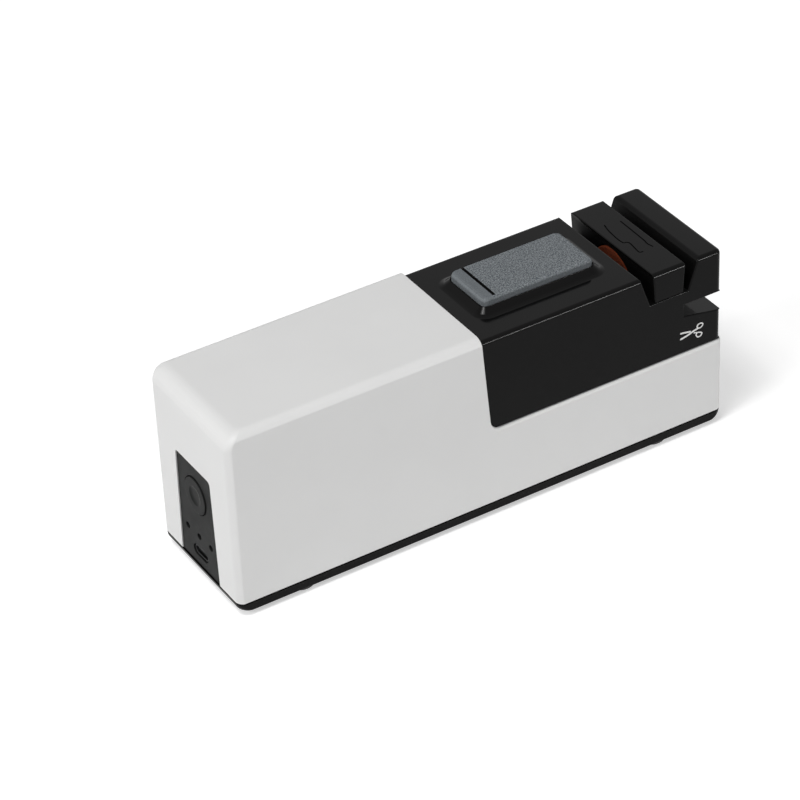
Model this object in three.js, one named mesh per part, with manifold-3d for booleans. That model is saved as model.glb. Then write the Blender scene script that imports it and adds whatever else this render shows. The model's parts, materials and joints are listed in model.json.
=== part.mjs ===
// Electric knife sharpener: a white moulded sleeve over a black base plate, a black sharpening
// head with two knife slots and a scissors slot, a whetstone on its deck, and a battery drive.
// Millimetres. X runs from the control end (-X) to the sharpening end (+X), Z is up, and the
// origin is on the table under the middle of the housing.
import * as THREE from 'three';
import { mergeVertices } from 'three/addons/utils/BufferGeometryUtils.js';
import Module from 'manifold-3d';

const wasm = await Module();
wasm.setup();

// Driving dimensions of the housing
const LENGTH = 200;
const WIDTH = 53;
const HEIGHT = 75;
const WALL = 2.2;
const CORNER_R = 3;
const TOP_SIDE_R = 3.4;
const TOP_END_R = 6.5;
const SEAT_GAP = 0.3;
const OVERRUN = 6;
const LEVEL_STEP = 0.0005;

// Base plate and feet
const BASE_THICK = 3.5;
const BASE_END_R = 3.3;
const BASE_EDGE_R = 0.5;
const FOOT_PROUD = 1.85;
const FOOT_R = 5.5;
const FOOT_SEAT_DEPTH = 0.8;
const FOOT_INSET_X = 27;
const FOOT_INSET_Y = 6.7;
const TONGUE_RISE = 2.7;
const TONGUE_WALL = 1.6;

// Housing screws and their bosses
const SCREW_INSET_X = 40;
const SCREW_INSET_Y = 5.5;
const SCREW_R = 1.5;
const SCREW_HEAD_R = 2.8;
const SCREW_HEAD_T = 1.4;
const SCREW_LENGTH = 16;
const COUNTERBORE = 1.9;
const BOSS_R = 3;
const BOSS_RISE = 16;
const WEB_T = 1.6;
const HOLE_CLEARANCE = 0.3;

// Window in the sleeve that the sharpening head fills
const SEAM_INSET = 101;
const SEAM_LEAN = 4.4;
const WINDOW_DEPTH = 39.3;
const WINDOW_R = 2.6;

// Sharpening head
const HEAD_SIDE_INSET = 0.9;
const HEAD_TOP_INSET = 1.8;
const HEAD_END_INSET = 0.6;
const HEAD_WALL = 2;
const HEAD_EDGE_R = 1;
const HEAD_END_R = 1.6;
const HEAD_CORNER_R = 2.2;
const SKIRT_DEPTH = 6.5;
const LIP_LENGTH = 3;

// Knife slots: one valley across the head, with a guide block standing in it
const VALLEY_DEPTH = 11.8;
const VALLEY_INSET = 23.1;
const VALLEY_FLOOR_W = 16.1;
const VALLEY_TOP_W = 24.2;
const GUIDE_FLOOR_W = 12.1;
const GUIDE_TOP_W = 13.7;
const GUIDE_SCREW_INSET = 7;
const GUIDE_SCREW_LENGTH = 7;
const SMALL_SCREW_R = 1;
const SMALL_HEAD_R = 1.9;
const SMALL_HEAD_T = 1.1;
const HEAD_DOME_SHARE = 0.75;

// Scissors slot across the end of the head
const NOTCH_SHOWS = 0.5;
const NOTCH_DEPTH = 19.1;
const NOTCH_GAP = 4.8;
const NOTCH_SLOPE = 10.3;

// Stone and the raised seat under it
const STONE_LENGTH = 45.6;
const STONE_WIDTH = 21.8;
const STONE_THICK = 4;
const STONE_PROUD = 2.7;
const STONE_CORNER_R = 2;
const STONE_EDGE_R = 0.5;
const STONE_OFFSET = 0.7;
const STONE_GROOVE_X = 5;
const STONE_GROOVE = 0.5;
const SEAT_RISE = 2.4;
const SEAT_LIP = 0.5;
const SEAT_FLARE = 3.1;
const SEAT_CURVE_SHARE = 1.6;
const SEAT_CORNER_R = 2.4;

// Grinding spindle and wheels, on one axis along X
const AXIS_DEPTH = 16;
const WHEEL_R = 11.7;
const WHEEL_T = 5.6;
const COARSE_BACK = 6.6;
const FINE_FRONT = 6.9;
const WHEEL_EDGE = 0.5;
const WHEEL_CLEARANCE = 0.4;
const HUB_R = 4.2;
const HUB_RECESS = 0.6;
const FINE_RECESS_R = 3.1;
const FINE_RECESS = 1.6;
const SPINDLE_R = 1.5;
const SHOULDER_R = 1.95;
const SHOULDER_T = 1.6;
const SPINDLE_TAIL = 23.9;
const RUNNING_CLEARANCE = 0.1;
const BUSH_R = 3.5;
const BUSH_T = 3.6;
const BUSH_FRONT_BACK = 9.3;
const BUSH_REAR_BACK = 17.3;
const BUSH_FLANGE_R = 4.4;
const BUSH_FLANGE_T = 0.8;

// Motor and coupling
const MOTOR_R = 10.2;
const CAN_LENGTH = 25;
const CAN_WALL = 0.9;
const CAN_NOSE_R = 3;
const CAN_NOSE = 1.5;
const BELL_T = 3;
const BELL_PLUG = 2;
const BELL_NOSE_R = 2.6;
const BELL_NOSE = 1.6;
const SHAFT_R = 1;
const SHAFT_TAIL = 0.8;
const SHAFT_REACH = 9;
const MAGNET_T = 2;
const MAGNET_LENGTH = 16;
const MAGNET_SPAN = 130;
const ARMATURE_LENGTH = 13;
const ARMATURE_AIR = 0.5;
const POLE_COUNT = 3;
const POLE_STEM_W = 2.6;
const POLE_RIM_T = 1.4;
const POLE_SPAN = 96;
const COMMUTATOR_R = 2.5;
const COMMUTATOR_LENGTH = 4;
const TERMINAL_W = 2.2;
const TERMINAL_T = 0.5;
const TERMINAL_LENGTH = 4.5;
const COUPLING_R = 4;
const COUPLING_LENGTH = 9.4;
const SHAFT_END_GAP = 0.9;
const GRUB_R = 0.9;

// Drive frame that carries the motor and the spindle bushes
const FRAME_T = 2.5;
const FRAME_DROP = 18;
const FRAME_TAIL = 6;
const FRAME_END_GAP = 3.1;
const FRAME_MARGIN = 2.7;
const FRAME_RIB_T = 2.6;
const FRAME_SCREW_IN = 4.5;
const FRAME_BOSS_R = 2.4;
const FRAME_BOSS_GAP = 1.2;
const FRAME_SCREW_LENGTH = 9;
const BUSH_POST_W = 11;

// Control end: panel, button, lamps and charging socket
const PANEL_HALF_TOP = 11.8;
const PANEL_HALF_BOTTOM = 13.1;
const PANEL_TOP_DEPTH = 26.5;
const PANEL_CORNER_R = 1.2;
const PANEL_SINK = 0.4;
const PANEL_FLANGE = 2.4;
const PANEL_FLANGE_T = 1.5;
const BUTTON_DOWN_SHARE = 0.34;
const BUTTON_R = 7;
const BUTTON_DISH_R = 5.3;
const BUTTON_DISH = 0.8;
const BUTTON_RIM_R = 8;
const BUTTON_RIM_T = 0.9;
const BUTTON_STEM_R = 1.8;
const BUTTON_TRAVEL = 0.8;
const LAMP_UP_SHARE = 0.293;
const LAMP_PITCH = 8;
const LAMP_R = 0.9;
const LAMP_COUNT = 3;
const PORT_RISE = 5.85;
const PORT_W = 8.94;
const PORT_H = 3.26;
const PORT_WALL = 0.35;
const PORT_TONGUE_T = 0.7;
const PORT_TONGUE_W = 6.7;
const PORT_TONGUE_BACK = 0.9;

// Control board and its parts
const BOARD_SETBACK = 11.4;
const BOARD_T = 1.6;
const BOARD_HALF_W = 13;
const BOARD_RISE = 3.25;
const BOARD_TOP_GAP = 1;
const POST_R = 2.3;
const POST_Y = 10.4;
const POST_DOWN = 2.9;
const BOARD_SCREW_LENGTH = 5;
const SWITCH_SIZE = 6;
const SWITCH_T = 3.4;
const PLUNGER_R = 1.7;
const PLUNGER_LENGTH = 2.4;
const LED_SIZE = 1.6;
const LED_T = 0.8;

// Battery cell in snap-in saddles on the base plate
const CELL_R = 9.2;
const CELL_LENGTH = 65;
const CELL_SETBACK = 20.5;
const CELL_RISE = 2.2;
const CELL_CAP_R = 2.8;
const CELL_CAP = 1.3;
const CELL_EDGE = 0.6;
const CELL_NECK = 0.7;
const CELL_NECK_BACK = 3;
const SADDLE_T = 2.4;
const SADDLE_HALF_W = 11.6;
const SADDLE_WRAP = 3.6;
const SADDLE_PITCH = 22;
const SADDLE_COUNT = 3;
const TAB_T = 0.3;
const TAB_W = 6;
const TAB_HEIGHT = 13;

// Insulated leads
const LEAD_R = 0.7;
const LEAD_SIDE_INSET = 6.1;
const LEAD_DEPTH = 9;
const LEAD_OVER_CELL = 4;

// Facets
const CORNER_STEPS = 4;
const FILLET_STEPS = 4;
const SEAT_STEPS = 4;
const ROUND_FINE = 36;
const ROUND_MID = 20;
const ROUND_SMALL = 12;
const LEAD_SIDES = 6;
const LEAD_STEPS = 16;

// Places worked out from the sizes above
const BASE_Z = FOOT_PROUD;
const BASE_TOP = BASE_Z + BASE_THICK;
const SLEEVE_Z = BASE_TOP + SEAT_GAP;
const HALF_L = LENGTH / 2;
const HALF_W = WIDTH / 2;
const FOOT_X = HALF_L - FOOT_INSET_X;
const FOOT_Y = HALF_W - FOOT_INSET_Y;
const SCREW_X = HALF_L - SCREW_INSET_X;
const SCREW_Y = HALF_W - SCREW_INSET_Y;
const SEAM_X = HALF_L - SEAM_INSET;
const WINDOW_Z = HEIGHT - WINDOW_DEPTH;
const HEAD_TOP = HEIGHT - HEAD_TOP_INSET;
const HEAD_HALF_W = HALF_W - HEAD_SIDE_INSET;
const HEAD_END = HALF_L - HEAD_END_INSET;
const INNER_INSET = WALL + SEAT_GAP;
const VALLEY_X = HALF_L - VALLEY_INSET;
const VALLEY_Z = HEAD_TOP - VALLEY_DEPTH;
const VALLEY_LEFT_X = VALLEY_X - VALLEY_TOP_W / 2;
const STONE_X = (SEAM_X + VALLEY_LEFT_X) / 2 + STONE_OFFSET;
const AXIS_Z = HEIGHT - AXIS_DEPTH;
const COARSE_X = VALLEY_X - COARSE_BACK;
const FINE_X_END = VALLEY_X + FINE_FRONT;
const NOTCH_X = FINE_X_END - NOTCH_SHOWS;
const NOTCH_TOP_Z = HEIGHT - NOTCH_DEPTH;
const NOTCH_FLOOR_Z = NOTCH_TOP_Z - NOTCH_GAP;
const SPINDLE_START = COARSE_X - SPINDLE_TAIL;
const BUSH_FRONT_X = COARSE_X - BUSH_FRONT_BACK;
const BUSH_REAR_X = COARSE_X - BUSH_REAR_BACK;
const MOTOR_X = SPINDLE_START - SHAFT_END_GAP - SHAFT_REACH - CAN_NOSE - CAN_LENGTH;
const FRAME_Z = AXIS_Z - FRAME_DROP;
const FRAME_X = MOTOR_X - FRAME_TAIL;
const FRAME_X_END = COARSE_X - FRAME_END_GAP;
const PANEL_TOP_Z = HEIGHT - PANEL_TOP_DEPTH;
const BOSS_Z = SLEEVE_Z + TONGUE_RISE + SEAT_GAP;
const STONE_TOP = HEAD_TOP + SEAT_RISE + STONE_PROUD;
const PORT_Z = BASE_TOP + PORT_RISE;
const BUTTON_Z = PANEL_TOP_Z - (PANEL_TOP_Z - PORT_Z) * BUTTON_DOWN_SHARE;
const LAMP_Z = PORT_Z + (BUTTON_Z - PORT_Z) * LAMP_UP_SHARE;
const BOARD_FRONT = BOARD_SETBACK - HALF_L;
const BOARD_BACK = BOARD_FRONT + BOARD_T;
const BOARD_LOW_Z = BASE_TOP + BOARD_RISE;
const BOARD_HIGH_Z = PANEL_TOP_Z - BOARD_TOP_GAP;
const POST_Z = BOARD_HIGH_Z - POST_DOWN;
const CELL_X = CELL_SETBACK - HALF_L + CELL_LENGTH / 2;

const degrees = THREE.MathUtils.degToRad;
const slopeOf = (angle) => Math.tan(degrees(angle));

// A manifold solid from a closed three.js geometry, whichever way its faces point
function solid(geometry) {
  const bare = geometry.clone();
  bare.deleteAttribute('normal');
  bare.deleteAttribute('uv');
  const merged = mergeVertices(bare);
  const vertProperties = new Float32Array(merged.attributes.position.array);
  const corners = merged.index.array;
  const kept = [];
  let volume = 0;
  const [a, b, c] = [new THREE.Vector3(), new THREE.Vector3(), new THREE.Vector3()];
  for (let i = 0; i < corners.length; i += 3) {
    const [p, q, r] = corners.slice(i, i + 3);
    if (p === q || q === r || r === p) continue;
    kept.push(p, q, r);
    a.fromArray(vertProperties, 3 * p);
    b.fromArray(vertProperties, 3 * q);
    c.fromArray(vertProperties, 3 * r);
    volume += a.dot(b.cross(c));
  }
  if (volume < 0) kept.reverse();
  const triVerts = new Uint32Array(kept);
  return new wasm.Manifold(new wasm.Mesh({ numProp: 3, vertProperties, triVerts }));
}

function geometryOf(body) {
  const mesh = body.getMesh();
  const geometry = new THREE.BufferGeometry();
  geometry.setAttribute('position', new THREE.BufferAttribute(mesh.vertProperties, 3));
  geometry.setIndex(new THREE.BufferAttribute(mesh.triVerts, 1));
  geometry.computeVertexNormals();
  return geometry;
}

const united = (bodies) => bodies.reduce((all, body) => all.add(body));
const cutFrom = (body, tools) => tools.reduce((left, tool) => left.subtract(tool), body);

// Primitive solids, each placed by its limits or its axis
function box(x0, x1, y0, y1, z0, z1) {
  const geometry = new THREE.BoxGeometry(x1 - x0, y1 - y0, z1 - z0);
  geometry.translate((x0 + x1) / 2, (y0 + y1) / 2, (z0 + z1) / 2);
  return solid(geometry);
}

function rodZ(radius, z0, z1, x, y, steps = ROUND_SMALL) {
  const geometry = new THREE.CylinderGeometry(radius, radius, z1 - z0, steps);
  geometry.rotateX(Math.PI / 2).translate(x, y, (z0 + z1) / 2);
  return solid(geometry);
}

function rodX(radius, x0, x1, y, z, steps = ROUND_SMALL) {
  const geometry = new THREE.CylinderGeometry(radius, radius, x1 - x0, steps);
  geometry.rotateZ(-Math.PI / 2).translate((x0 + x1) / 2, y, z);
  return solid(geometry);
}

// A turned solid about an axis along X, from [x, radius] points that close on themselves or the axis
function turnedX(points, y, z, steps = ROUND_SMALL) {
  const profile = points.map(([x, radius]) => new THREE.Vector2(radius, x));
  const geometry = new THREE.LatheGeometry(profile, steps);
  geometry.rotateZ(-Math.PI / 2).translate(0, y, z);
  return solid(geometry);
}

// The same about an upright axis, from [z, radius] points
function turnedZ(points, x, y, steps = ROUND_SMALL) {
  const profile = points.map(([z, radius]) => new THREE.Vector2(radius, z));
  const geometry = new THREE.LatheGeometry(profile, steps);
  geometry.rotateX(Math.PI / 2).translate(x, y, 0);
  return solid(geometry);
}

// A closed ring profile for bushes, sleeves and wheels
const ring = (x0, x1, inner, outer) => [[x0, inner], [x0, outer], [x1, outer], [x1, inner], [x0, inner]];

function outline(points) {
  const shape = new THREE.Shape();
  points.forEach(([u, v], i) => (i === 0 ? shape.moveTo(u, v) : shape.lineTo(u, v)));
  return shape;
}

// A side profile in X and Z, drawn across Y
function acrossY(shape, y0, y1, curveSegments = CORNER_STEPS) {
  const geometry = new THREE.ExtrudeGeometry(shape, { depth: y1 - y0, bevelEnabled: false, curveSegments });
  geometry.rotateX(Math.PI / 2).translate(0, y1, 0);
  return solid(geometry);
}

// An end profile in Y and Z, drawn along X
function alongX(shape, x0, x1, curveSegments = CORNER_STEPS) {
  const geometry = new THREE.ExtrudeGeometry(shape, { depth: x1 - x0, bevelEnabled: false, curveSegments });
  const turn = new THREE.Matrix4().makeBasis(
    new THREE.Vector3(0, 1, 0), new THREE.Vector3(0, 0, 1), new THREE.Vector3(1, 0, 0));
  geometry.applyMatrix4(turn).translate(x0, 0, 0);
  return solid(geometry);
}

// One level of a lofted block: a rectangle with round corners
function roundedRing(level) {
  const { x0, x1, halfY, corner, z } = level;
  const r = Math.min(corner, halfY, (x1 - x0) / 2);
  const centres = [[x1 - r, halfY - r], [x0 + r, halfY - r], [x0 + r, r - halfY], [x1 - r, r - halfY]];
  return centres.flatMap(([cx, cy], quarter) => Array.from({ length: CORNER_STEPS + 1 }, (_, k) => {
    const angle = (quarter + k / CORNER_STEPS) * Math.PI / 2;
    return [cx + r * Math.cos(angle), cy + r * Math.sin(angle), z];
  }));
}

function loft(levels) {
  const rings = levels.map(roundedRing);
  const count = rings[0].length;
  const index = [];
  for (let k = 0; k + 1 < rings.length; k += 1) {
    for (let i = 0; i < count; i += 1) {
      const a = k * count + i;
      const b = k * count + (i + 1) % count;
      index.push(a, b, b + count, a, b + count, a + count);
    }
  }
  const last = (rings.length - 1) * count;
  for (let i = 1; i + 1 < count; i += 1) {
    index.push(0, i + 1, i);
    index.push(last, last + i, last + i + 1);
  }
  const geometry = new THREE.BufferGeometry();
  geometry.setAttribute('position', new THREE.Float32BufferAttribute(rings.flat(2), 3));
  geometry.setIndex(index);
  return solid(geometry);
}

// How far a rounded edge has drawn in at height z, for a block from z0 to z1
function drawnIn(z, z0, z1, lowR, highR) {
  const above = z - (z1 - highR);
  const below = z0 + lowR - z;
  if (highR > 0 && above > 0) return highR - Math.sqrt(Math.max(0, highR ** 2 - above ** 2));
  if (lowR > 0 && below > 0) return lowR - Math.sqrt(Math.max(0, lowR ** 2 - below ** 2));
  return 0;
}

// A block with round upright corners and its own rounding on the ends and on the long sides
function roundedBlock(sizes) {
  const { x0, x1, halfY, z0, z1, corner } = sizes;
  const { endTop = 0, sideTop = 0, endBottom = 0, sideBottom = 0 } = sizes;
  const heights = new Set([z0, z1]);
  for (let k = 0; k <= FILLET_STEPS; k += 1) {
    const angle = (k / FILLET_STEPS) * Math.PI / 2;
    [endTop, sideTop].forEach((r) => r > 0 && heights.add(z1 - r + r * Math.sin(angle)));
    [endBottom, sideBottom].forEach((r) => r > 0 && heights.add(z0 + r - r * Math.sin(angle)));
  }
  const sorted = [...heights].sort((p, q) => p - q);
  const distinct = sorted.filter((z, i) => i === 0 || z - sorted[i - 1] > LEVEL_STEP);
  return loft(distinct.map((z) => {
    const ends = drawnIn(z, z0, z1, endBottom, endTop);
    const sides = drawnIn(z, z0, z1, sideBottom, sideTop);
    return { x0: x0 + ends, x1: x1 - ends, halfY: halfY - sides, corner, z };
  }));
}

// The sleeve's outer form, drawn in all round by an inset
function sleeveForm(inset, z0) {
  return roundedBlock({
    x0: inset - HALF_L, x1: HALF_L - inset, halfY: HALF_W - inset, z0, z1: HEIGHT - inset,
    corner: Math.max(CORNER_R - inset, WALL / 4),
    endTop: Math.max(TOP_END_R - inset, WALL / 4), sideTop: Math.max(TOP_SIDE_R - inset, WALL / 4),
  });
}

// The slanting seam's place at a height
const seamAt = (z) => SEAM_X + (HEIGHT - z) * slopeOf(SEAM_LEAN);

// The window in the sleeve's sides, grown inwards by a gap where the head sits in it
function windowShape(gap, lowZ) {
  const top = HEIGHT + OVERRUN;
  const low = lowZ + gap;
  const shape = new THREE.Shape();
  shape.moveTo(seamAt(top) + gap, top);
  shape.lineTo(seamAt(low + WINDOW_R) + gap, low + WINDOW_R);
  shape.quadraticCurveTo(seamAt(low) + gap, low, seamAt(low) + gap + WINDOW_R, low);
  shape.lineTo(HALF_L + OVERRUN, low);
  shape.lineTo(HALF_L + OVERRUN, top);
  return shape;
}

// The control panel's outline, grown by a margin
function panelShape(margin, lowZ) {
  const high = PANEL_TOP_Z + margin;
  const lean = (PANEL_HALF_BOTTOM - PANEL_HALF_TOP) / (PANEL_TOP_Z - SLEEVE_Z);
  const halfAt = (z) => PANEL_HALF_TOP + margin + (high - z) * lean;
  const shape = new THREE.Shape();
  shape.moveTo(-halfAt(lowZ), lowZ);
  shape.lineTo(halfAt(lowZ), lowZ);
  shape.lineTo(halfAt(high - PANEL_CORNER_R), high - PANEL_CORNER_R);
  shape.quadraticCurveTo(halfAt(high), high, halfAt(high) - PANEL_CORNER_R, high);
  shape.lineTo(PANEL_CORNER_R - halfAt(high), high);
  shape.quadraticCurveTo(-halfAt(high), high, -halfAt(high - PANEL_CORNER_R), high - PANEL_CORNER_R);
  return shape;
}

// Surface finishes: colour, roughness and metalness
const FINISHES = {
  white: [0xe4e4e2, 0.45, 0],
  black: [0x1d1d1e, 0.42, 0],
  charcoal: [0x3c3d3e, 0.5, 0],
  rubber: [0x161616, 0.85, 0],
  stone: [0x6d777d, 0.95, 0],
  coarse: [0x8a3a1c, 0.9, 0],
  fine: [0xcfc8bc, 0.9, 0],
  steel: [0xb9bcc0, 0.3, 1],
  zinc: [0x9a9da1, 0.4, 1],
  brass: [0xb08d4a, 0.35, 1],
  magnet: [0x35363a, 0.6, 0.2],
  board: [0x1f5a38, 0.5, 0],
  nylon: [0xd8d4c8, 0.6, 0],
  wrap: [0x2f6f9f, 0.4, 0],
  lamp: [0xdfe6ea, 0.2, 0],
  copper: [0xb4693c, 0.4, 0.8],
  red: [0xa32020, 0.5, 0],
  dark: [0x18181a, 0.5, 0],
};

const sharpener = new THREE.Group();
const drive = new THREE.Group();
const control = new THREE.Group();
const housing = new THREE.Group();
sharpener.add(housing, control, drive);

function add(group, name, body, finish) {
  const [color, roughness, metalness] = FINISHES[finish];
  const material = new THREE.MeshStandardMaterial({ color, roughness, metalness });
  const mesh = new THREE.Mesh(geometryOf(body), material);
  mesh.name = name;
  group.add(mesh);
}

// Copies of one piece, numbered from 1
function addEach(group, name, bodies, finish) {
  bodies.forEach((body, i) => add(group, `${name}_${i + 1}`, body, finish));
}

// Places of the four housing screws: the -X pair holds the sleeve, the +X pair the head
const screwPlaces = [-1, 1].flatMap((end) => [-1, 1].map((side) => [end * SCREW_X, side * SCREW_Y]));
const footPlaces = [-1, 1].flatMap((end) => [-1, 1].map((side) => [end * FOOT_X, side * FOOT_Y]));

// A pan-head screw standing on its head, from the underside of the head upwards
function screwUp(x, y, z, length, shankR, headR, headT) {
  return turnedZ([
    [z - headT, 0], [z - headT, headR * HEAD_DOME_SHARE], [z - headT / 2, headR], [z, headR],
    [z, shankR], [z + length - shankR, shankR], [z + length, 0],
  ], x, y);
}

// A pilot hole and its boss, cored from the boss's foot at z
const coreUp = (x, y, z, length, r) => rodZ(r + HOLE_CLEARANCE, z - OVERRUN, z + length, x, y);

function buildSleeve() {
  const outer = sleeveForm(0, SLEEVE_Z);
  const inner = sleeveForm(WALL, SLEEVE_Z - OVERRUN);
  const window = acrossY(windowShape(0, WINDOW_Z), -HALF_W - OVERRUN, HALF_W + OVERRUN);
  const doorway = alongX(panelShape(0, SLEEVE_Z - OVERRUN), -HALF_L - OVERRUN, WALL + SEAT_GAP - HALF_L);
  let body = cutFrom(outer, [inner, window, doorway]);
  for (const side of [-1, 1]) {
    const [x, y] = [-SCREW_X, side * SCREW_Y];
    const boss = rodZ(BOSS_R, BOSS_Z, BOSS_Z + BOSS_RISE, x, y);
    const wallY = side * (HALF_W - WALL / 2);
    const [y0, y1] = [Math.min(y, wallY), Math.max(y, wallY)];
    const web = box(x - WEB_T / 2, x + WEB_T / 2, y0, y1, BOSS_Z, BOSS_Z + BOSS_RISE);
    body = united([body, boss, web]).subtract(coreUp(x, y, BOSS_Z, BOSS_RISE - WALL, SCREW_R));
  }
  return body;
}
add(housing, 'body_shell', buildSleeve(), 'white');

function buildBasePlate() {
  const plate = roundedBlock({
    x0: -HALF_L, x1: HALF_L, halfY: HALF_W, z0: BASE_Z, z1: BASE_TOP, corner: CORNER_R,
    endBottom: BASE_END_R, sideBottom: BASE_EDGE_R,
  });
  const tongueOuter = roundedBlock({
    x0: INNER_INSET - HALF_L, x1: HALF_L - INNER_INSET, halfY: HALF_W - INNER_INSET,
    z0: BASE_TOP - BASE_THICK / 2, z1: BASE_TOP + TONGUE_RISE, corner: WALL / 4,
  });
  const hollow = INNER_INSET + TONGUE_WALL;
  const tongueInner = box(hollow - HALF_L, HALF_L - hollow, hollow - HALF_W, HALF_W - hollow,
    BASE_TOP, BASE_TOP + TONGUE_RISE + OVERRUN);
  const cellZ = BASE_TOP + CELL_RISE + CELL_R;
  const saddles = Array.from({ length: SADDLE_COUNT }, (_, k) => {
    const x = CELL_X + (k - (SADDLE_COUNT - 1) / 2) * SADDLE_PITCH;
    return box(x - SADDLE_T / 2, x + SADDLE_T / 2, -SADDLE_HALF_W, SADDLE_HALF_W,
      BASE_TOP - BASE_THICK / 2, cellZ + SADDLE_WRAP);
  });
  const cell = rodX(CELL_R + SEAT_GAP, CELL_X - CELL_LENGTH, CELL_X + CELL_LENGTH, 0, cellZ, ROUND_MID);
  const seats = footPlaces.map(([x, y]) => rodZ(
    FOOT_R + SEAT_GAP, BASE_Z - OVERRUN, BASE_Z + FOOT_SEAT_DEPTH, x, y, ROUND_MID));
  const bores = screwPlaces.flatMap(([x, y]) => [
    rodZ(SCREW_HEAD_R + HOLE_CLEARANCE, BASE_Z - OVERRUN, BASE_Z + COUNTERBORE, x, y),
    rodZ(SCREW_R + HOLE_CLEARANCE, BASE_Z, BASE_TOP + OVERRUN, x, y),
  ]);
  const tongue = tongueOuter.subtract(tongueInner);
  return cutFrom(united([plate, tongue, ...saddles.map((rib) => rib.subtract(cell))]), [...seats, ...bores]);
}
add(housing, 'base_plate', buildBasePlate(), 'black');

// Rubber feet, pressed into round seats under the plate
['rear_left', 'rear_right', 'front_left', 'front_right'].forEach((place, i) => {
  const [x, y] = footPlaces[[1, 0, 3, 2][i]];
  const top = BASE_Z + FOOT_SEAT_DEPTH - SEAT_GAP;
  const edge = FOOT_PROUD / 3;
  add(housing, `foot_${place}`, turnedZ([
    [0, 0], [0, FOOT_R - edge], [edge / 3, FOOT_R - edge / 3], [edge, FOOT_R], [top, FOOT_R], [top, 0],
  ], x, y, ROUND_MID), 'rubber');
});

addEach(housing, 'base_screw', screwPlaces.map(([x, y]) => screwUp(
  x, y, BASE_Z + COUNTERBORE - SEAT_GAP, SCREW_LENGTH, SCREW_R, SCREW_HEAD_R, SCREW_HEAD_T)), 'zinc');

// The valley across the head, and the guide block's own section in it
function valleyShape() {
  const top = HEAD_TOP + OVERRUN;
  const grow = (VALLEY_TOP_W - VALLEY_FLOOR_W) / 2 * (OVERRUN / VALLEY_DEPTH);
  const halfTop = VALLEY_TOP_W / 2 + grow;
  const halfFloor = VALLEY_FLOOR_W / 2;
  return outline([[VALLEY_X - halfTop, top], [VALLEY_X - halfFloor, VALLEY_Z],
    [VALLEY_X + halfFloor, VALLEY_Z], [VALLEY_X + halfTop, top]]);
}

const notchFloorAt = (x) => NOTCH_FLOOR_Z - (x - NOTCH_X) * slopeOf(NOTCH_SLOPE);

function notchShape() {
  const out = HEAD_END + OVERRUN;
  return outline([
    [NOTCH_X, NOTCH_TOP_Z], [out, NOTCH_TOP_Z], [out, notchFloorAt(out)], [NOTCH_X, NOTCH_FLOOR_Z]]);
}

// The wheels turn in a round well that passes through the head's floor and the guide block
const wheelWell = () => rodX(WHEEL_R + WHEEL_CLEARANCE, COARSE_X - WHEEL_CLEARANCE,
  FINE_X_END + WHEEL_CLEARANCE, 0, AXIS_Z, ROUND_FINE);

const guideScrewPlaces = [-1, 1].map((side) => [VALLEY_X, side * (HALF_W - GUIDE_SCREW_INSET)]);

// The frame's screws stand beside the motor at one end and beside the bush posts at the other
const besideMotor = MOTOR_R + FRAME_BOSS_R + FRAME_BOSS_GAP;
const besidePosts = BUSH_POST_W / 2 + FRAME_BOSS_R + FRAME_BOSS_GAP;
const betweenBushes = (BUSH_REAR_X + BUSH_T + BUSH_FRONT_X) / 2;
const frameScrewPlaces = [[FRAME_X + FRAME_SCREW_IN, besideMotor], [betweenBushes, besidePosts]].flatMap(
  ([x, y]) => [-1, 1].map((side) => [x, side * y]));
const motorFront = MOTOR_X + CAN_LENGTH;
const ribPlaces = [MOTOR_X + CAN_LENGTH / 4, MOTOR_X + CAN_LENGTH * 3 / 4];

// One level of the stone's seat: the stone's outline grown by a margin
const seatLevel = (margin, z) => ({
  x0: STONE_X - STONE_LENGTH / 2 - margin, x1: STONE_X + STONE_LENGTH / 2 + margin,
  halfY: STONE_WIDTH / 2 + margin, corner: SEAT_CORNER_R + margin / 2, z,
});

// The seat sweeps up from the deck in a hollow curve to a narrow lip round the stone
function buildSeat() {
  const sweep = Array.from({ length: SEAT_STEPS + 1 }, (_, k) => {
    const share = k / SEAT_STEPS;
    return seatLevel(SEAT_LIP + SEAT_FLARE * (1 - share) ** SEAT_CURVE_SHARE, HEAD_TOP + SEAT_RISE * share);
  });
  return loft([seatLevel(SEAT_LIP + SEAT_FLARE, HEAD_TOP - HEAD_WALL / 2), ...sweep]);
}

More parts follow.
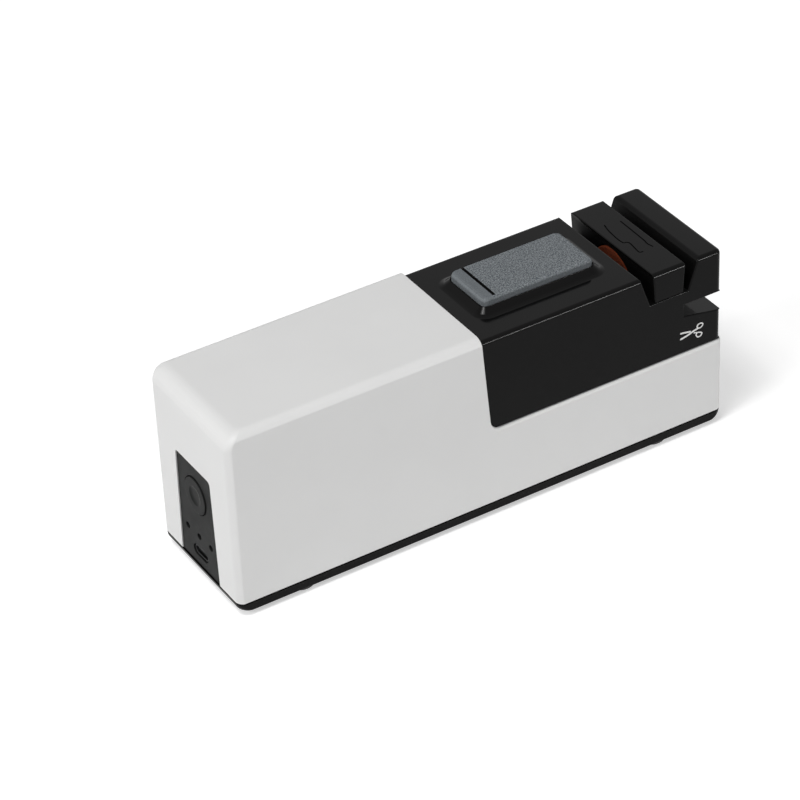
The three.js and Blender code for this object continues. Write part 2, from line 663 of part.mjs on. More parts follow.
function buildHead() {
  const skirtZ = WINDOW_Z - SKIRT_DEPTH;
  const showing = roundedBlock({
    x0: -HEAD_END, x1: HEAD_END, halfY: HEAD_HALF_W, z0: WINDOW_Z - OVERRUN, z1: HEAD_TOP,
    corner: HEAD_CORNER_R, endTop: HEAD_END_R, sideTop: HEAD_EDGE_R,
  }).intersect(acrossY(windowShape(SEAT_GAP, WINDOW_Z), -HALF_W, HALF_W));
  const lipX = SEAM_X - LIP_LENGTH;
  const keep = box(lipX, HALF_L, -HALF_W, HALF_W, skirtZ, HEIGHT);
  const tucked = sleeveForm(INNER_INSET, skirtZ - OVERRUN).intersect(keep);
  const underTop = HEIGHT - INNER_INSET - HEAD_WALL;
  const low = skirtZ - OVERRUN;
  const insideEnd = HALF_L - INNER_INSET - HEAD_WALL;
  const valleyFloorLeft = VALLEY_X - VALLEY_FLOOR_W / 2;
  const underValley = VALLEY_Z - HEAD_WALL;
  const insideNotch = NOTCH_X - HEAD_WALL;
  const cavity = acrossY(outline([
    [lipX - OVERRUN, low], [lipX - OVERRUN, underTop], [VALLEY_LEFT_X - HEAD_WALL, underTop],
    [valleyFloorLeft - HEAD_WALL, underValley], [insideNotch, underValley],
    [insideNotch, notchFloorAt(insideNotch) - HEAD_WALL], [insideEnd, notchFloorAt(insideEnd) - HEAD_WALL],
    [insideEnd, low],
  ]), INNER_INSET + HEAD_WALL - HALF_W, HALF_W - INNER_INSET - HEAD_WALL);
  const pocketZ = HEAD_TOP + SEAT_RISE + STONE_PROUD - STONE_THICK - SEAT_GAP;
  const pocket = loft([seatLevel(SEAT_GAP, pocketZ), seatLevel(SEAT_GAP, pocketZ + OVERRUN)]);
  let body = cutFrom(united([showing, tucked]), [cavity]);
  // Ribs that close over the motor from above
  const motorBody = rodX(MOTOR_R + SEAT_GAP, FRAME_X - OVERRUN, motorFront + OVERRUN, 0, AXIS_Z, ROUND_MID);
  const ribs = ribPlaces.map((x) => box(x - FRAME_RIB_T / 2, x + FRAME_RIB_T / 2, -MOTOR_R, MOTOR_R,
    AXIS_Z + MOTOR_R / 3, underTop + HEAD_WALL / 2).subtract(motorBody));
  // Posts down to the drive frame, and the two long posts that the base screws reach
  const frameTop = FRAME_Z + FRAME_T;
  const postTop = underTop + HEAD_WALL / 2;
  const framePosts = frameScrewPlaces.map(
    ([x, y]) => rodZ(FRAME_BOSS_R, frameTop + SEAT_GAP, postTop, x, y));
  const longPosts = [-1, 1].map((side) => rodZ(BOSS_R, BOSS_Z, postTop, SCREW_X, side * SCREW_Y));
  body = united([body, buildSeat(), ...ribs, ...framePosts, ...longPosts]);
  const cores = [
    ...frameScrewPlaces.map(([x, y]) => coreUp(x, y, frameTop, FRAME_SCREW_LENGTH, SMALL_SCREW_R)),
    ...[-1, 1].map((side) => coreUp(SCREW_X, side * SCREW_Y, BOSS_Z, BOSS_RISE - WALL, SCREW_R)),
    ...guideScrewPlaces.map(([x, y]) => rodZ(
      SMALL_SCREW_R + HOLE_CLEARANCE, underValley - OVERRUN, VALLEY_Z + OVERRUN, x, y)),
  ];
  const valley = acrossY(valleyShape(), -HALF_W - OVERRUN, HALF_W + OVERRUN);
  const notch = acrossY(notchShape(), -HALF_W - OVERRUN, HALF_W + OVERRUN);
  const passage = rodX(SHOULDER_R + SEAT_GAP, BUSH_FRONT_X, COARSE_X, 0, AXIS_Z);
  return cutFrom(body, [pocket, valley, notch, wheelWell(), passage, ...cores]);
}
add(housing, 'head_housing', buildHead(), 'black');

function buildGuide() {
  const floor = VALLEY_Z + SEAT_GAP;
  const block = roundedBlock({
    x0: VALLEY_X - GUIDE_TOP_W, x1: VALLEY_X + GUIDE_TOP_W, halfY: HEAD_HALF_W, z0: floor, z1: HEAD_TOP,
    corner: WHEEL_EDGE, sideTop: HEAD_EDGE_R,
  });
  const section = acrossY(outline([
    [VALLEY_X - GUIDE_FLOOR_W / 2, floor], [VALLEY_X + GUIDE_FLOOR_W / 2, floor],
    [VALLEY_X + GUIDE_TOP_W / 2, HEAD_TOP], [VALLEY_X - GUIDE_TOP_W / 2, HEAD_TOP],
  ]), -HALF_W, HALF_W);
  const cores = guideScrewPlaces.map(([x, y]) => coreUp(x, y, floor, GUIDE_SCREW_LENGTH, SMALL_SCREW_R));
  return cutFrom(block.intersect(section), [wheelWell(), ...cores]);
}
add(housing, 'guide_block', buildGuide(), 'black');

addEach(housing, 'guide_screw', guideScrewPlaces.map(([x, y]) => screwUp(x, y,
  VALLEY_Z - HEAD_WALL - SEAT_GAP, GUIDE_SCREW_LENGTH, SMALL_SCREW_R, SMALL_HEAD_R, SMALL_HEAD_T)), 'zinc');

function buildStone() {
  const low = STONE_TOP - STONE_THICK;
  const body = roundedBlock({
    x0: STONE_X - STONE_LENGTH / 2, x1: STONE_X + STONE_LENGTH / 2, halfY: STONE_WIDTH / 2,
    z0: low, z1: STONE_TOP, corner: STONE_CORNER_R, endTop: STONE_EDGE_R, sideTop: STONE_EDGE_R,
  });
  const x = STONE_X - STONE_LENGTH / 2 + STONE_GROOVE_X;
  return body.subtract(box(x - STONE_GROOVE / 2, x + STONE_GROOVE / 2, -STONE_WIDTH, STONE_WIDTH,
    STONE_TOP - STONE_GROOVE, STONE_TOP + OVERRUN));
}
add(housing, 'whetstone', buildStone(), 'stone');

// Control panel, clipped behind the end wall of the sleeve
const panelFace = PANEL_SINK - HALF_L;
const panelBack = WALL - HALF_L;
const flangeFront = panelBack + SEAT_GAP;
const flangeBack = flangeFront + PANEL_FLANGE_T;
const flangeZ = BASE_TOP + TONGUE_RISE + SEAT_GAP;
const lampPlaces = Array.from({ length: LAMP_COUNT }, (_, k) => (k - (LAMP_COUNT - 1) / 2) * LAMP_PITCH);
const postPlaces = [-1, 1].map((side) => [side * POST_Y, POST_Z]);

// A slot outline with full round ends, in Y and Z
function slotShape(width, height, z) {
  const r = height / 2;
  const shape = new THREE.Shape();
  shape.absarc(width / 2 - r, z, r, -Math.PI / 2, Math.PI / 2, false);
  shape.absarc(r - width / 2, z, r, Math.PI / 2, Math.PI * 3 / 2, false);
  return shape;
}

function buildPanel() {
  const sill = SLEEVE_Z;
  const plate = alongX(panelShape(-SEAT_GAP, sill), panelFace, panelBack);
  const neck = alongX(panelShape(-SEAT_GAP, flangeZ), panelBack - PANEL_SINK, flangeBack);
  const flange = alongX(panelShape(PANEL_FLANGE, flangeZ), flangeFront, flangeBack);
  const [cutFront, cutBack] = [panelFace - OVERRUN, flangeBack + OVERRUN];
  const posts = postPlaces.map(
    ([y, z]) => rodX(POST_R, flangeBack - PANEL_SINK, BOARD_FRONT - SEAT_GAP, y, z));
  const cores = postPlaces.map(([y, z]) => rodX(
    SMALL_SCREW_R + HOLE_CLEARANCE, BOARD_FRONT - BOARD_SCREW_LENGTH, BOARD_FRONT + OVERRUN, y, z));
  const lampHoles = lampPlaces.map((y) => rodX(LAMP_R + HOLE_CLEARANCE, cutFront, cutBack, y, LAMP_Z));
  const buttonHole = rodX(BUTTON_R + SEAT_GAP, cutFront, cutBack, 0, BUTTON_Z, ROUND_FINE);
  const rimRoom = rodX(BUTTON_RIM_R + SEAT_GAP, panelBack, cutBack, 0, BUTTON_Z, ROUND_MID);
  const portHole = alongX(
    slotShape(PORT_W + 2 * SEAT_GAP, PORT_H + 2 * SEAT_GAP, PORT_Z), cutFront, cutBack);
  const body = united([plate, neck, flange, ...posts]);
  return cutFrom(body, [...cores, ...lampHoles, buttonHole, rimRoom, portHole]);
}
add(control, 'rear_panel', buildPanel(), 'charcoal');

// Push button with a dished face, held behind the panel by its rim
const switchFace = BOARD_FRONT - SEAT_GAP - SWITCH_T;
const plungerTip = switchFace - PLUNGER_LENGTH / 2;
const rimFront = panelBack + SEAT_GAP;

function buildButton() {
  const face = panelFace;
  const back = rimFront + BUTTON_RIM_T;
  const dish = Array.from({ length: FILLET_STEPS + 1 }, (_, k) => {
    const share = k / FILLET_STEPS;
    return [face + BUTTON_DISH * (1 - share ** 2), BUTTON_DISH_R * share];
  });
  const edge = BUTTON_DISH / 2;
  return turnedX([
    ...dish, [face, BUTTON_R - edge], [face + edge, BUTTON_R], [rimFront, BUTTON_R],
    [rimFront, BUTTON_RIM_R], [back, BUTTON_RIM_R], [back, BUTTON_STEM_R],
    [plungerTip - SEAT_GAP, BUTTON_STEM_R], [plungerTip - SEAT_GAP, 0],
  ], 0, BUTTON_Z, ROUND_FINE);
}
add(control, 'power_button', buildButton(), 'charcoal');

function buildSwitch() {
  const half = SWITCH_SIZE / 2;
  const body = box(switchFace, BOARD_FRONT - SEAT_GAP, -half, half, BUTTON_Z - half, BUTTON_Z + half);
  const wellEnd = switchFace + PLUNGER_LENGTH / 2 + BUTTON_TRAVEL + SEAT_GAP;
  return body.subtract(rodX(PLUNGER_R + HOLE_CLEARANCE, switchFace - OVERRUN, wellEnd, 0, BUTTON_Z));
}
add(control, 'tact_switch', buildSwitch(), 'zinc');
add(control, 'switch_plunger',
  rodX(PLUNGER_R, plungerTip, plungerTip + PLUNGER_LENGTH, 0, BUTTON_Z), 'black');

// Lamps: clear pipes through the panel, each in front of its own diode
const ledFace = BOARD_FRONT - SEAT_GAP - LED_T;
['left', 'middle', 'right'].forEach((place, i) => {
  const y = lampPlaces[LAMP_COUNT - 1 - i];
  add(control, `lamp_lens_${place}`, rodX(LAMP_R, panelFace, ledFace - SEAT_GAP, y, LAMP_Z), 'lamp');
  add(control, `lamp_diode_${place}`, box(ledFace, BOARD_FRONT - SEAT_GAP,
    y - LED_SIZE / 2, y + LED_SIZE / 2, LAMP_Z - LED_SIZE / 2, LAMP_Z + LED_SIZE / 2), 'nylon');
});

// Charging socket: a folded steel shell round a tongue
function buildPort() {
  const back = BOARD_FRONT - SEAT_GAP;
  const shell = alongX(slotShape(PORT_W, PORT_H, PORT_Z), panelFace, back);
  const bore = alongX(slotShape(PORT_W - 2 * PORT_WALL, PORT_H - 2 * PORT_WALL, PORT_Z),
    panelFace - OVERRUN, back - PORT_TONGUE_BACK);
  return shell.subtract(bore);
}
add(control, 'usb_socket', buildPort(), 'steel');
add(control, 'usb_tongue', box(panelFace + PORT_TONGUE_BACK, BOARD_FRONT - 2 * SEAT_GAP - PORT_TONGUE_BACK,
  -PORT_TONGUE_W / 2, PORT_TONGUE_W / 2, PORT_Z - PORT_TONGUE_T / 2, PORT_Z + PORT_TONGUE_T / 2), 'black');

function buildBoard() {
  const plate = box(BOARD_FRONT, BOARD_BACK, -BOARD_HALF_W, BOARD_HALF_W, BOARD_LOW_Z, BOARD_HIGH_Z);
  return cutFrom(plate, postPlaces.map(([y, z]) => rodX(
    SMALL_SCREW_R + HOLE_CLEARANCE, BOARD_FRONT - OVERRUN, BOARD_BACK + OVERRUN, y, z)));
}
add(control, 'control_board', buildBoard(), 'board');

addEach(control, 'board_screw', postPlaces.map(([y, z]) => {
  const seat = BOARD_BACK + SEAT_GAP;
  return turnedX([
    [seat + SMALL_HEAD_T, 0], [seat + SMALL_HEAD_T, SMALL_HEAD_R * HEAD_DOME_SHARE],
    [seat + SMALL_HEAD_T / 2, SMALL_HEAD_R], [seat, SMALL_HEAD_R], [seat, SMALL_SCREW_R],
    [seat - BOARD_SCREW_LENGTH + SMALL_SCREW_R, SMALL_SCREW_R], [seat - BOARD_SCREW_LENGTH, 0],
  ], y, z);
}), 'zinc');

// Battery cell with its crimped neck, and the two welded tabs
const cellZ = BASE_TOP + CELL_RISE + CELL_R;
const cellStart = CELL_X - CELL_LENGTH / 2;
const cellEnd = CELL_X + CELL_LENGTH / 2 - CELL_CAP;
const neckX = cellEnd - CELL_NECK_BACK;
const neckR = CELL_R - CELL_NECK;
add(drive, 'battery_cell', turnedX([
  [cellStart, 0], [cellStart, CELL_R - CELL_EDGE], [cellStart + CELL_EDGE, CELL_R],
  [neckX - CELL_EDGE, CELL_R], [neckX, neckR], [neckX + CELL_EDGE, neckR], [neckX + 2 * CELL_EDGE, CELL_R],
  [cellEnd - CELL_EDGE, CELL_R], [cellEnd, CELL_R - CELL_EDGE],
  [cellEnd, CELL_CAP_R], [cellEnd + CELL_CAP, CELL_CAP_R], [cellEnd + CELL_CAP, 0],
], 0, cellZ, ROUND_MID), 'wrap');
const tabStart = cellStart - SEAT_GAP - TAB_T;
const tabEnd = CELL_X + CELL_LENGTH / 2 + SEAT_GAP;
const tabAt = (x) => box(x, x + TAB_T, -TAB_W / 2, TAB_W / 2, cellZ, cellZ + TAB_HEIGHT);
add(drive, 'battery_tab_minus', tabAt(tabStart), 'steel');
add(drive, 'battery_tab_plus', tabAt(tabEnd), 'steel');

// Drive frame: a plate with two saddles for the motor and two posts for the bushes
const bushPlaces = [BUSH_FRONT_X, BUSH_REAR_X];

function buildFrame() {
  const top = FRAME_Z + FRAME_T;
  const [wide, narrow] = [besideMotor + FRAME_MARGIN, besidePosts + FRAME_MARGIN];
  const plate = box(FRAME_X, motorFront, -wide, wide, FRAME_Z, top)
    .add(box(motorFront - OVERRUN, FRAME_X_END, -narrow, narrow, FRAME_Z, top));
  const motorBody = rodX(MOTOR_R + SEAT_GAP, FRAME_X - OVERRUN, motorFront + OVERRUN, 0, AXIS_Z, ROUND_MID);
  const saddles = ribPlaces.map((x) => box(x - FRAME_RIB_T / 2, x + FRAME_RIB_T / 2, -MOTOR_R, MOTOR_R,
    top - FRAME_T / 2, AXIS_Z - MOTOR_R / 6).subtract(motorBody));
  const posts = bushPlaces.map((x) => {
    const foot = box(x, x + BUSH_T, -BUSH_POST_W / 2, BUSH_POST_W / 2, top - FRAME_T / 2, AXIS_Z);
    return foot.add(rodX(BUSH_POST_W / 2, x, x + BUSH_T, 0, AXIS_Z));
  });
  const bores = bushPlaces.map(
    (x) => rodX(BUSH_R + SEAT_GAP, x - OVERRUN, x + BUSH_T + OVERRUN, 0, AXIS_Z, ROUND_MID));
  const holes = frameScrewPlaces.map(([x, y]) => rodZ(
    SMALL_SCREW_R + HOLE_CLEARANCE, FRAME_Z - OVERRUN, top + OVERRUN, x, y));
  return cutFrom(united([plate, ...saddles, ...posts]), [...bores, ...holes]);
}
add(drive, 'drive_frame', buildFrame(), 'black');

addEach(drive, 'frame_screw', frameScrewPlaces.map(([x, y]) => screwUp(
  x, y, FRAME_Z - SEAT_GAP, FRAME_SCREW_LENGTH, SMALL_SCREW_R, SMALL_HEAD_R, SMALL_HEAD_T)), 'zinc');

// Plain bushes with a flange on the outer face of each post
['front', 'rear'].forEach((place, i) => {
  const x = bushPlaces[i];
  const bore = SPINDLE_R + RUNNING_CLEARANCE;
  const flange = x - SEAT_GAP - BUSH_FLANGE_T;
  add(drive, `bush_${place}`, turnedX([
    [flange, bore], [flange, BUSH_FLANGE_R], [x - SEAT_GAP, BUSH_FLANGE_R], [x - SEAT_GAP, BUSH_R],
    [x + BUSH_T, BUSH_R], [x + BUSH_T, bore], [flange, bore],
  ], 0, AXIS_Z, ROUND_MID), 'brass');
});

// Spindle with a shoulder that locates the wheels, cored for the wheel screw
const fineX = FINE_X_END - WHEEL_T;
const recessX = FINE_X_END - FINE_RECESS;
const spindleEnd = recessX - SEAT_GAP;
const shoulderEnd = COARSE_X - SEAT_GAP;
const wheelBore = SPINDLE_R + RUNNING_CLEARANCE;
const wheelScrewLength = WHEEL_T;
const shoulderStart = shoulderEnd - SHOULDER_T;
add(drive, 'grinding_spindle', turnedX([
  [SPINDLE_START, 0], [SPINDLE_START, SPINDLE_R], [shoulderStart, SPINDLE_R], [shoulderStart, SHOULDER_R],
  [shoulderEnd, SHOULDER_R], [shoulderEnd, SPINDLE_R], [spindleEnd, SPINDLE_R], [spindleEnd, 0],
], 0, AXIS_Z, ROUND_MID).subtract(
  rodX(SMALL_SCREW_R, spindleEnd - wheelScrewLength, spindleEnd + OVERRUN, 0, AXIS_Z)), 'steel');

function wheel(x0, recessStart, recessEnd) {
  const x1 = x0 + WHEEL_T;
  const left = recessStart > 0
    ? [[x0 + recessStart, wheelBore], [x0 + recessStart, HUB_R], [x0, HUB_R]] : [[x0, wheelBore]];
  const right = recessEnd > 0
    ? [[x1, FINE_RECESS_R], [x1 - recessEnd, FINE_RECESS_R], [x1 - recessEnd, wheelBore]] : [[x1, wheelBore]];
  return turnedX([
    ...left, [x0, WHEEL_R - WHEEL_EDGE], [x0 + WHEEL_EDGE, WHEEL_R], [x1 - WHEEL_EDGE, WHEEL_R],
    [x1, WHEEL_R - WHEEL_EDGE], ...right, left[0],
  ], 0, AXIS_Z, ROUND_FINE);
}
add(drive, 'coarse_wheel', wheel(COARSE_X, HUB_RECESS, 0), 'coarse');
add(drive, 'fine_wheel', wheel(fineX, 0, FINE_RECESS), 'fine');
add(drive, 'wheel_spacer', turnedX(
  ring(COARSE_X + WHEEL_T + SEAT_GAP, fineX - SEAT_GAP, wheelBore, HUB_R), 0, AXIS_Z, ROUND_MID), 'nylon');

const screwSeat = recessX + SEAT_GAP;
const screwShank = SMALL_SCREW_R - RUNNING_CLEARANCE;
const screwTip = spindleEnd - wheelScrewLength + SEAT_GAP;
add(drive, 'wheel_screw', turnedX([
  [screwSeat + SMALL_HEAD_T, 0], [screwSeat + SMALL_HEAD_T, SMALL_HEAD_R * HEAD_DOME_SHARE],
  [screwSeat + SMALL_HEAD_T / 2, SMALL_HEAD_R], [screwSeat, SMALL_HEAD_R], [screwSeat, screwShank],
  [screwTip, screwShank], [screwTip, 0],
], 0, AXIS_Z), 'zinc');

// Motor: a drawn can with two magnets, a plastic end bell, and the wound rotor on its shaft
const canInner = MOTOR_R - CAN_WALL;
const shaftBore = SHAFT_R + RUNNING_CLEARANCE;
add(drive, 'motor_can', turnedX([
  [MOTOR_X, canInner], [MOTOR_X, MOTOR_R], [motorFront - CAN_WALL, MOTOR_R], [motorFront, MOTOR_R - CAN_WALL],
  [motorFront, CAN_NOSE_R], [motorFront + CAN_NOSE, CAN_NOSE_R], [motorFront + CAN_NOSE, shaftBore],
  [motorFront - CAN_WALL, shaftBore], [motorFront - CAN_WALL, canInner], [MOTOR_X, canInner],
], 0, AXIS_Z, ROUND_MID), 'steel');

const bellBack = MOTOR_X - SEAT_GAP - BELL_T;
const bellPlugR = canInner - SEAT_GAP;
function buildBell() {
  const bell = turnedX([
    [bellBack - BELL_NOSE, shaftBore], [bellBack - BELL_NOSE, BELL_NOSE_R], [bellBack, BELL_NOSE_R],
    [bellBack, MOTOR_R], [MOTOR_X - SEAT_GAP, MOTOR_R], [MOTOR_X - SEAT_GAP, bellPlugR],
    [MOTOR_X + BELL_PLUG, bellPlugR], [MOTOR_X + BELL_PLUG, shaftBore], [bellBack - BELL_NOSE, shaftBore],
  ], 0, AXIS_Z, ROUND_MID);
  return cutFrom(bell, [-1, 1].map((side) => terminal(side, HOLE_CLEARANCE)));
}

// A motor terminal blade, grown where it makes its own slot in the end bell
function terminal(side, grow) {
  const y = side * (MOTOR_R + BELL_NOSE_R) / 2;
  const [halfW, halfT] = [TERMINAL_W / 2 + grow, TERMINAL_T / 2 + grow];
  return box(bellBack - TERMINAL_LENGTH - grow, MOTOR_X - BELL_T / 2 + grow,
    y - halfW, y + halfW, AXIS_Z - halfT, AXIS_Z + halfT);
}
add(drive, 'motor_end_bell', buildBell(), 'nylon');
addEach(drive, 'motor_terminal', [-1, 1].map((side) => terminal(side, 0)), 'copper');

// Magnets: two arcs against the can wall
const magnetOuter = canInner - SEAT_GAP;
const magnetInner = magnetOuter - MAGNET_T;
const magnetEnd = motorFront - CAN_WALL - SEAT_GAP;
['left', 'right'].forEach((place, i) => {
  const middle = i === 0 ? 0 : Math.PI;
  const half = degrees(MAGNET_SPAN) / 2;
  const shape = new THREE.Shape();
  shape.absarc(0, AXIS_Z, magnetOuter, middle - half, middle + half, false);
  shape.absarc(0, AXIS_Z, magnetInner, middle + half, middle - half, true);
  add(drive, `motor_magnet_${place}`, alongX(shape, magnetEnd - MAGNET_LENGTH, magnetEnd), 'magnet');
});

// Rotor stack: three poles whose rims follow the magnets
const armatureR = magnetInner - ARMATURE_AIR;
const armatureStart = magnetEnd - (MAGNET_LENGTH + ARMATURE_LENGTH) / 2;
const armatureEnd = armatureStart + ARMATURE_LENGTH;
function buildArmature() {
  const rimHalf = degrees(POLE_SPAN) / 2;
  const hub = rodX(COMMUTATOR_R, armatureStart - COMMUTATOR_LENGTH, armatureEnd, 0, AXIS_Z);
  const poles = Array.from({ length: POLE_COUNT }, (_, k) => {
    const middle = Math.PI / 2 + k * 2 * Math.PI / POLE_COUNT;
    const rim = new THREE.Shape();
    rim.absarc(0, 0, armatureR, middle - rimHalf, middle + rimHalf, false);
    rim.absarc(0, 0, armatureR - POLE_RIM_T, middle + rimHalf, middle - rimHalf, true);
    const stem = new THREE.BoxGeometry(ARMATURE_LENGTH, POLE_STEM_W, armatureR - POLE_RIM_T / 2);
    stem.translate((armatureStart + armatureEnd) / 2, 0, (armatureR - POLE_RIM_T / 2) / 2);
    stem.rotateX(middle - Math.PI / 2);
    return alongX(rim, armatureStart, armatureEnd).add(solid(stem)).translate([0, 0, AXIS_Z]);
  });
  const bore = rodX(shaftBore, armatureStart - COMMUTATOR_LENGTH - OVERRUN, armatureEnd + OVERRUN, 0, AXIS_Z);
  return united([hub, ...poles]).subtract(bore);
}
add(drive, 'motor_armature', buildArmature(), 'steel');

const shaftStart = bellBack - BELL_NOSE - SHAFT_TAIL;
const shaftEnd = motorFront + CAN_NOSE + SHAFT_REACH;
add(drive, 'motor_shaft', rodX(SHAFT_R, shaftStart, shaftEnd, 0, AXIS_Z), 'steel');

// Coupling sleeve between motor shaft and spindle, with its two grub screws
const couplingMiddle = (shaftEnd + SPINDLE_START) / 2;
const couplingStart = couplingMiddle - COUPLING_LENGTH / 2;
const couplingEnd = couplingMiddle + COUPLING_LENGTH / 2;
const grubPlaces = [
  [couplingStart + COUPLING_LENGTH / 4, SHAFT_R], [couplingEnd - COUPLING_LENGTH / 4, SPINDLE_R]];
function buildCoupling() {
  const sleeve = turnedX([
    [couplingStart, shaftBore], [couplingStart, COUPLING_R], [couplingEnd, COUPLING_R],
    [couplingEnd, wheelBore], [couplingMiddle, wheelBore], [couplingMiddle, shaftBore],
    [couplingStart, shaftBore],
  ], 0, AXIS_Z, ROUND_MID);
  return cutFrom(sleeve, grubPlaces.map(
    ([x]) => rodZ(GRUB_R + HOLE_CLEARANCE, AXIS_Z, AXIS_Z + COUPLING_R + OVERRUN, x, 0)));
}
add(drive, 'shaft_coupling', buildCoupling(), 'brass');
addEach(drive, 'grub_screw', grubPlaces.map(([x, r]) => rodZ(
  GRUB_R, AXIS_Z + r + SEAT_GAP, AXIS_Z + COUPLING_R - SEAT_GAP, x, 0)), 'zinc');

// Leads from the board to the cell's tabs and to the motor's terminals
function lead(points) {
  const path = new THREE.CatmullRomCurve3(points.map((p) => new THREE.Vector3(...p)), false, 'centripetal');
  const section = outline(Array.from({ length: LEAD_SIDES }, (_, k) => {
    const angle = k * 2 * Math.PI / LEAD_SIDES;
    return [LEAD_R * Math.cos(angle), LEAD_R * Math.sin(angle)];
  }));
  const settings = { steps: LEAD_STEPS, bevelEnabled: false, extrudePath: path };
  return solid(new THREE.ExtrudeGeometry(section, settings));
}

const boardSide = BOARD_BACK + SEAT_GAP;
const stand = 4 * LEAD_R;
const laneZ = HEIGHT - LEAD_DEPTH;
const tabTop = cellZ + TAB_HEIGHT + SEAT_GAP;
const overCell = cellZ + CELL_R + LEAD_OVER_CELL;
add(drive, 'battery_lead_minus', lead([
  [tabStart + TAB_T / 2, 0, tabTop], [tabStart + TAB_T / 2, 0, tabTop + stand],
  [boardSide + stand, -TAB_W / 2, tabTop + stand], [boardSide, -TAB_W / 2, tabTop + stand],
]), 'dark');
add(drive, 'battery_lead_plus', lead([
  [tabEnd + TAB_T / 2, 0, tabTop], [tabEnd + TAB_T / 2, 0, tabTop + stand / 2],
  [tabEnd - stand, LEAD_R, overCell + stand], [CELL_X, CELL_R / 2, overCell],
  [cellStart, CELL_R, overCell + stand],
  [boardSide + stand, CELL_R, overCell + stand], [boardSide, CELL_R, overCell + stand],
]), 'red');
['plus', 'minus'].forEach((pole, i) => {
  const side = 1 - 2 * i;
  const y = side * (MOTOR_R + BELL_NOSE_R) / 2;
  const lane = HALF_W - LEAD_SIDE_INSET - i * stand;
  const tip = bellBack - TERMINAL_LENGTH - SEAT_GAP;
  const boardZ = POST_Z - PANEL_CORNER_R;
  const [laneStart, laneEnd] = [cellStart + 4 * stand, tip - 5 * stand];
  add(drive, `motor_lead_${pole}`, lead([
    [boardSide, y / 2, boardZ], [boardSide + stand, y / 2, boardZ + LEAD_R],
    [cellStart, lane - 2 * stand, (boardZ + laneZ) / 2], [laneStart, lane, laneZ],
    [(laneStart + laneEnd) / 2, lane, laneZ], [laneEnd, lane, laneZ],
    [tip - 2 * stand, lane - i * stand, laneZ - stand], [tip - stand, y, AXIS_Z + stand / 2],
    [tip, y, AXIS_Z],
  ]), i === 0 ? 'red' : 'dark');
});

export default sharpener;
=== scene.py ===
# %% [markdown]
# # An electric knife sharpener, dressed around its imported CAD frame
# The CAD frame fixes every size and every joint. This file only adds looks: finer meshes for what
# is seen, and procedural finishes for all of it. Everything is in the frame's own metres, so a
# piece goes where the CAD says and is never fitted by eye. Sizes below are written in
# millimetres, because that is how a moulder would read them, and MM turns them to metres.

# %% Load the frame
import json
import math

import bmesh
import bpy
from mathutils import Matrix, Vector, noise


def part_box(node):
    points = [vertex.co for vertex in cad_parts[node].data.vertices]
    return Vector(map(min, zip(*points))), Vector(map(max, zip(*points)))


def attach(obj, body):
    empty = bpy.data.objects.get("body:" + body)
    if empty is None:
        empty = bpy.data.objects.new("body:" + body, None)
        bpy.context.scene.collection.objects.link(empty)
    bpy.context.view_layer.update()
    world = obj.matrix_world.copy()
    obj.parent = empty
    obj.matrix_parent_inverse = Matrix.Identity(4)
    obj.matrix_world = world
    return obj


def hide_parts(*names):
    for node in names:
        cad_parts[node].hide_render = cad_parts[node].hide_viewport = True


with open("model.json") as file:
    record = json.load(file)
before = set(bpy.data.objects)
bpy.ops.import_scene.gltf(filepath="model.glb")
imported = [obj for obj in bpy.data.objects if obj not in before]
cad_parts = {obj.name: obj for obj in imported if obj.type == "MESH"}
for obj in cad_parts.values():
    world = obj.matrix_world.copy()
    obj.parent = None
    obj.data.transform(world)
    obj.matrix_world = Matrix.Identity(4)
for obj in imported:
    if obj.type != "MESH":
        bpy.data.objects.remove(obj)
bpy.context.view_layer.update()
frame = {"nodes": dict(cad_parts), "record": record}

scene = bpy.context.scene
slot_of = {row["node"]: row["material_slot"] for row in frame["record"]["subparts"]}

# %% [markdown]
# ## Camera
# The photograph looks down on the control end and one long side. A camera has to repeat the
# direction, the distance and the small roll of the real one, or no edge will line up. The angles
# and the distance here were solved from the object's own corners, so the lens needs no shift.

# %% Camera
MM = 0.001
CAMERA_AZIMUTH = -30.248
CAMERA_ELEVATION = 35.498
CAMERA_ROLL = -2.761
CAMERA_DISTANCE = 1325.6
CAMERA_TARGET = (46.0, 110.5, -49.2)
FOCAL_PIXELS = 3390.6
FRAME_PIXELS = 800
SENSOR = 36.0
CLIP_NEAR, CLIP_FAR = 0.05, 60


def place_camera():
    turn, rise, roll = (math.radians(a) for a in (CAMERA_AZIMUTH, CAMERA_ELEVATION, CAMERA_ROLL))
    flat = math.cos(rise)
    back = Vector((math.sin(turn) * flat, -math.cos(turn) * flat, math.sin(rise)))
    right = (-back).cross(Vector((0, 0, 1))).normalized()
    up = right.cross(-back)
    right, up = (right * math.cos(roll) + up * math.sin(roll),
                 up * math.cos(roll) - right * math.sin(roll))
    data = bpy.data.cameras.new("photo_camera")
    data.sensor_width = SENSOR
    data.lens = SENSOR * FOCAL_PIXELS / FRAME_PIXELS
    data.clip_start, data.clip_end = CLIP_NEAR, CLIP_FAR
    camera = bpy.data.objects.new("photo_camera", data)
    scene.collection.objects.link(camera)
    place = (Vector(CAMERA_TARGET) + back * CAMERA_DISTANCE) * MM
    facing = Matrix((right, up, back)).transposed().to_4x4()
    camera.matrix_world = Matrix.Translation(place) @ facing
    scene.camera = camera
    return camera


camera = place_camera()
print("lens", round(camera.data.lens, 1), "mm, camera at", [round(c, 3) for c in camera.location])

# %% [markdown]
# ## Wiring nodes by arithmetic
# Node trees read badly when every link is written out. One small class wraps a socket and turns
# `+`, `*` and the rest into Math nodes, and one method makes any other node from the values or
# links of its sockets and its settings. The same pair serves materials and Geometry Nodes.

# %% Wires and a tree writer


